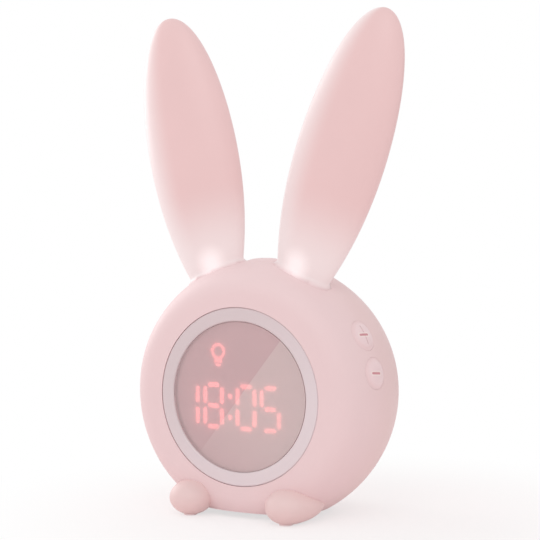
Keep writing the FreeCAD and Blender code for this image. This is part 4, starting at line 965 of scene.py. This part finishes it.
@dataclass
class Buttons:
    """The two side buttons and the top button, each a cap on its own body with its switch inside."""

    finishes: Finishes
    plus_angle: float = 28.4
    minus_angle: float = 11.6
    reach: float = 64.53
    setback: float = -6.6
    lean: float = 8.13

    def side(self, name: str, body: Body, angle: float, upright: bool) -> PressCap:
        """One side cap on the drum's bulge.

        Args:
            name: which button it is.
            body: the body that it rides on.
            angle: degrees above the level line through the drum's centre.
            upright: whether the sign has its upright line.

        Returns:
            The cap.
        """
        turn, lean = math.radians(angle), math.radians(self.lean)
        middle = (self.reach * math.cos(turn), self.setback, self.reach * math.sin(turn))
        outward = (math.cos(turn) * math.cos(lean), -math.sin(lean), math.sin(turn) * math.cos(lean))
        return PressCap(
            self.finishes, f"{name}_press_cap", body, f"{name}_button", middle, outward, upright=upright
        )

    def crown(self) -> PressCap:
        """The plain cap on top of the drum, between the ears."""
        middle, outward = (0.0, 0.0, DrumForm.waist), (0.0, 0.0, 1.0)
        return PressCap(
            self.finishes, "crown_press_cap", Body.TOP, "top_button", middle, outward,
            radius=9.2, pillow_radius=8.9, pillow_rise=0.7, signed=False,
            rear_bend=DrumForm.rear_arc, round_bend=DrumForm.waist,
        )

    def build(self) -> None:
        """Makes the caps and dresses their plungers and switches."""
        self.side("plus", Body.PLUS, self.plus_angle, True).build()
        self.side("minus", Body.MINUS, self.minus_angle, False).build()
        self.crown().build()
        cover(self.finishes.black, "plus_switch", "minus_switch", "top_switch")
        cover(self.finishes.white, *ending("_plunger"))


@dataclass
class Capsule:
    """A round-ended stroke of the display, by its two ends, in millimetres about the drum's centre."""

    start: Span
    end: Span

    def distance(self, across: Grid, rise: Grid) -> Grid:
        """Distance of every point from the stroke's middle line: the nearest point of a segment."""
        run = np.subtract(self.end, self.start)
        span = max(float(np.dot(run, run)), TINY)
        share = ((across - self.start[0]) * run[0] + (rise - self.start[1]) * run[1]) / span
        share = np.clip(share, 0.0, 1.0)
        return np.hypot(across - self.start[0] - share * run[0], rise - self.start[1] - share * run[1])


@dataclass
class Display:
    """The round window: ring, smoked lens, mask, its lit and dark figures and the glow about them."""

    finishes: Finishes
    top: float = 4.8
    middle: float = -5.4
    bottom: float = -15.6
    half_across: float = 4.7
    upright_half: float = 2.95
    level_half: float = 2.05
    figures: tuple[tuple[float, str], ...] = (
        (-29.3, "ur lr"),
        (-15.6, "t m b ul ll ur lr"),
        (2.5, "t b ul ll ur lr"),
        (15.8, "t m b ul lr"),
    )
    colon_x: float = -6.3
    colon_levels: Span = (-0.3, -10.5)
    lamp_x: float = -13.0
    lamp_z: float = 21.2
    lamp_radius: float = 3.22
    lamp_half_line: float = 0.68
    lamp_slabs: tuple[Place, ...] = ((1.95, 15.7, 17.9), (1.4, 14.1, 15.1))
    film_radius: float = 35.9
    film_y: float = -28.68
    film_step: float = 0.26
    stroke: float = 1.05
    reach: float = 2.8
    haze_power: float = 2.6
    haze_share: float = 0.24

    def digit(self, centre: float, lit: str) -> list[Capsule]:
        """The strokes of one figure.

        Args:
            centre: its middle line.
            lit: the lit strokes, from t m b for the level ones and ul ll ur lr for the uprights.

        Returns:
            The strokes.
        """
        upper, lower = (self.top + self.middle) / 2.0, (self.middle + self.bottom) / 2.0
        level = {"t": self.top, "m": self.middle, "b": self.bottom}
        upright = {"ul": (-1, upper), "ll": (-1, lower), "ur": (1, upper), "lr": (1, lower)}
        strokes = []
        for key in lit.split():
            if key in level:
                z = level[key]
                strokes.append(Capsule((centre - self.level_half, z), (centre + self.level_half, z)))
            else:
                side, z = upright[key]
                x = centre + side * self.half_across
                strokes.append(Capsule((x, z - self.upright_half), (x, z + self.upright_half)))
        return strokes

    def strokes(self) -> list[Capsule]:
        """Every lit stroke of the figures, and the colon's dots."""
        found = [Capsule((self.colon_x, z), (self.colon_x, z)) for z in self.colon_levels]
        for centre, lit in self.figures:
            found += self.digit(centre, lit)
        return found

    def lamp(self, across: Grid, rise: Grid) -> Grid:
        """Distance from the lamp sign: a ring, and two slabs below it.

        A ring's distance is the distance from its middle circle less half its line. A slab's is
        how far a point lies outside its rectangle.

        Args:
            across, rise: the points, in millimetres about the drum's centre.

        Returns:
            The distance to the nearest of the three.
        """
        beside = np.abs(across - self.lamp_x)
        circle = np.hypot(beside, rise - self.lamp_z) - self.lamp_radius
        found = [np.abs(circle) - self.lamp_half_line]
        for half_width, low, high in self.lamp_slabs:
            beyond = np.abs(rise - (low + high) / 2.0) - (high - low) / 2.0
            found.append(np.hypot(np.clip(beside - half_width, 0.0, None), np.clip(beyond, 0.0, None)))
        return np.minimum.reduce(found)

    def film(self) -> bpy.types.Object:
        """A flat disc in front of the mask that carries the glow.

        The haze falls from the strokes' edge as (1 - d / reach) to the haze's power.

        Returns:
            The film.
        """
        rings = int(self.film_radius / self.film_step)
        radius = np.linspace(self.film_step, self.film_radius, rings)[:, None]
        turn = around(4 * rings)
        across, rise = radius * np.cos(turn), radius * np.sin(turn)
        away = np.minimum.reduce([s.distance(across, rise) for s in self.strokes()]) - self.stroke
        away = np.clip(np.minimum(away, self.lamp(across, rise)), 0.0, self.reach)
        haze = (1.0 - away / self.reach) ** self.haze_power * self.haze_share
        points = np.stack([across, np.full_like(across, self.film_y), rise], axis=-1)
        points = points * MM + np.array([0.0, 0.0, DRUM_Z])
        return Skin("display_glow_film", points, True, True, False, {"haze": haze}, turn_over=True).build()

    def build(self) -> None:
        """Dresses the window's nodes and makes the glow film."""
        looks = self.finishes
        cover(looks.ring, "bezel_ring")
        cover(looks.lens, "display_lens")
        cover(looks.mask, "segment_mask", "dark_segments")
        cover(looks.lit, "lit_segments", "lamp_sign")
        cover(looks.led, "display_leds")
        cover(looks.foam, "lens_gasket")
        cover(looks.white, "display_carrier")
        film = self.film()
        dress(film, looks.haze.material())
        settle(film, Body.CLOCK, "segment_glow")


@dataclass
class Feet:
    """The two egg-shaped toes in front and the grip pads that the clock stands on."""

    finishes: Finishes

    def build(self) -> None:
        """Dresses the toes and pads."""
        cover(self.finishes.foot, "right_foot", "left_foot")
        cover(self.finishes.pad, "rubber_pads")


@dataclass
class Works:
    """What is inside: boards, battery, loudspeaker, sockets, leads and their screws."""

    finishes: Finishes

    def build(self) -> None:
        """Dresses every hidden node."""
        looks = self.finishes
        screws = ("carrier_screws", "board_screws", "speaker_screws", "switch_board_screws")
        cover(looks.board, *ending("_board"))
        cover(looks.lead, *ending("_lead"))
        cover(looks.steel, *screws, "usb_socket", "speaker_magnet")
        cover(looks.black, "board_parts", "power_switch", "speaker_frame")
        cover(looks.wrap, "battery_cell")
        cover(looks.strap, "battery_strap")
        cover(looks.white, "battery_cradle")
        cover(looks.foam, "speaker_gasket")
        cover(looks.cone, "speaker_cone")
        cover(looks.ribbon, "display_ribbon")
        cover(looks.cap, "power_knob")


# Studio


def hang(name: str, data: bpy.types.ID, place: Place, facing: Vector) -> bpy.types.Object:
    """Puts a camera or a lamp at its place, turned to face along a direction."""
    made = add(name, data)
    made.location = place
    made.rotation_euler = facing.to_track_quat("-Z", "Y").to_euler()
    return made


@dataclass(frozen=True)
class Lamp:
    """A square soft lamp: where it hangs, the point that it faces, its side and its power."""

    name: str
    place: Place
    aim: Place
    size: float
    watts: float

    def build(self) -> None:
        """Hangs the lamp."""
        data = bpy.data.lights.new(self.name, "AREA")
        data.shape = "SQUARE"
        data.size = self.size
        data.energy = self.watts
        hang(self.name, data, self.place, Vector(self.aim) - Vector(self.place))


@dataclass
class Studio:
    """A white sweep, soft lamps and the camera of the picture."""

    camera_place: Place = (0.39667, -0.71954, 0.16272)
    camera_back: Place = (0.4821, -0.8744, 0.0537)
    focal: float = 111.08
    sensor: float = 36.0
    clip: Span = (0.01, 20.0)
    world_light: float = 0.80
    lamps: tuple[Lamp, ...] = (
        Lamp("key_lamp", place=(0.2, -1.0, 1.1), aim=(0.0, 0.0, 0.1), size=0.8, watts=2.2),
        Lamp("rim_lamp", place=(-1.05, 0.2, 0.45), aim=(0.0, 0.0, 0.17), size=0.6, watts=2.6),
    )
    floor_half: float = 3.0
    floor_points: int = 40
    ramp_depths: Span = (2.0, 3.0)
    ramp_height: float = 1.5
    # Painted light: the paper's pink tint stands for light bounced from the clock onto the floor.
    pink_bounce_tones: tuple[Colour, Colour] = ((0.98, 0.88, 0.88), (0.99, 0.91, 0.91))
    paper_cloud: float = 3.0
    paper_roughness: float = 0.9
    shadow_middle: Place = (0.035, 0.0, 0.0)
    shadow_radii: Span = (0.06, 0.20)
    shadow_white: float = 0.64

    def camera(self) -> None:
        """Sets up the camera, level, looking along its measured direction."""
        lens = bpy.data.cameras.new("picture_camera")
        lens.lens = self.focal
        lens.sensor_width = self.sensor
        lens.clip_start, lens.clip_end = self.clip
        camera = hang("picture_camera", lens, self.camera_place, -Vector(self.camera_back))
        bpy.context.scene.camera = camera

    def seen(self, shade: Shade) -> Wire:
        """1 for rays from the camera, a mirror or glass, 0 for light that lands on the object."""
        path = shade.node("ShaderNodeLightPath", out="Is Camera Ray")
        outputs = path.socket.node.outputs
        others = [Wire(shade, outputs[name]) for name in ("Is Glossy Ray", "Is Transmission Ray")]
        return path.math("MAXIMUM", others[0].math("MAXIMUM", others[1]))

    def world(self) -> None:
        """White where it is seen, and a plain soft light on the object."""
        shade = Shade(bpy.data.worlds.new("white_room"), "ShaderNodeOutputWorld")
        strength = self.seen(shade) * (1.0 - self.world_light) + self.world_light
        light = shade.node("ShaderNodeBackground", inputs={"Color": WHITE, "Strength": strength})
        bpy.context.scene.world = shade.close(light)

    def floor(self) -> None:
        """A wide pale floor that shows white and keeps a faint shadow.

        The floor is a flat grid whose height rises far behind as a smooth ramp.
        """
        side = np.linspace(-self.floor_half, self.floor_half, self.floor_points)
        depth, width = np.meshgrid(side, side, indexing="ij")
        height = smooth(depth, *self.ramp_depths) * self.ramp_height
        floor = Skin("white_floor", np.stack([width, depth, height], axis=-1), round_about=False).build()
        shade = Shade(bpy.data.materials.new("white_sweep"))
        place = shade.place()
        # The pink tint is painted bounce light, seen near the clock where the paper shows.
        tone = shade.mix(shade.noise(place, self.paper_cloud), *self.pink_bounce_tones)
        paper = shade.principled(Base_Color=tone, Roughness=self.paper_roughness)
        white = shade.node("ShaderNodeEmission", inputs={"Color": WHITE, "Strength": 1.0})
        away = shade.distance(place, self.shadow_middle).step(*self.shadow_radii)
        share = self.seen(shade) * (away * (1.0 - self.shadow_white) + self.shadow_white)
        both = shade.node("ShaderNodeMixShader", inputs={0: share, 1: paper, 2: white})
        dress(floor, shade.close(both))

    def build(self) -> None:
        """Sets the stage."""
        bpy.context.scene.view_settings.view_transform = "Standard"
        self.camera()
        self.world()
        self.floor()
        for lamp in self.lamps:
            lamp.build()
        log.info("set the studio: camera, world, floor and %d lamps", len(self.lamps))


def main() -> None:
    """Builds the clock's pieces in order, then the studio."""
    logging.basicConfig(level=logging.INFO, format="%(name)s: %(message)s")
    finishes = Finishes()
    for part in (Drum, Feet, Ears, Buttons, Display, Works):
        part(finishes).build()
        log.info("finished %s", part.__name__)
    Studio().build()


if __name__ == "__main__":
    main()
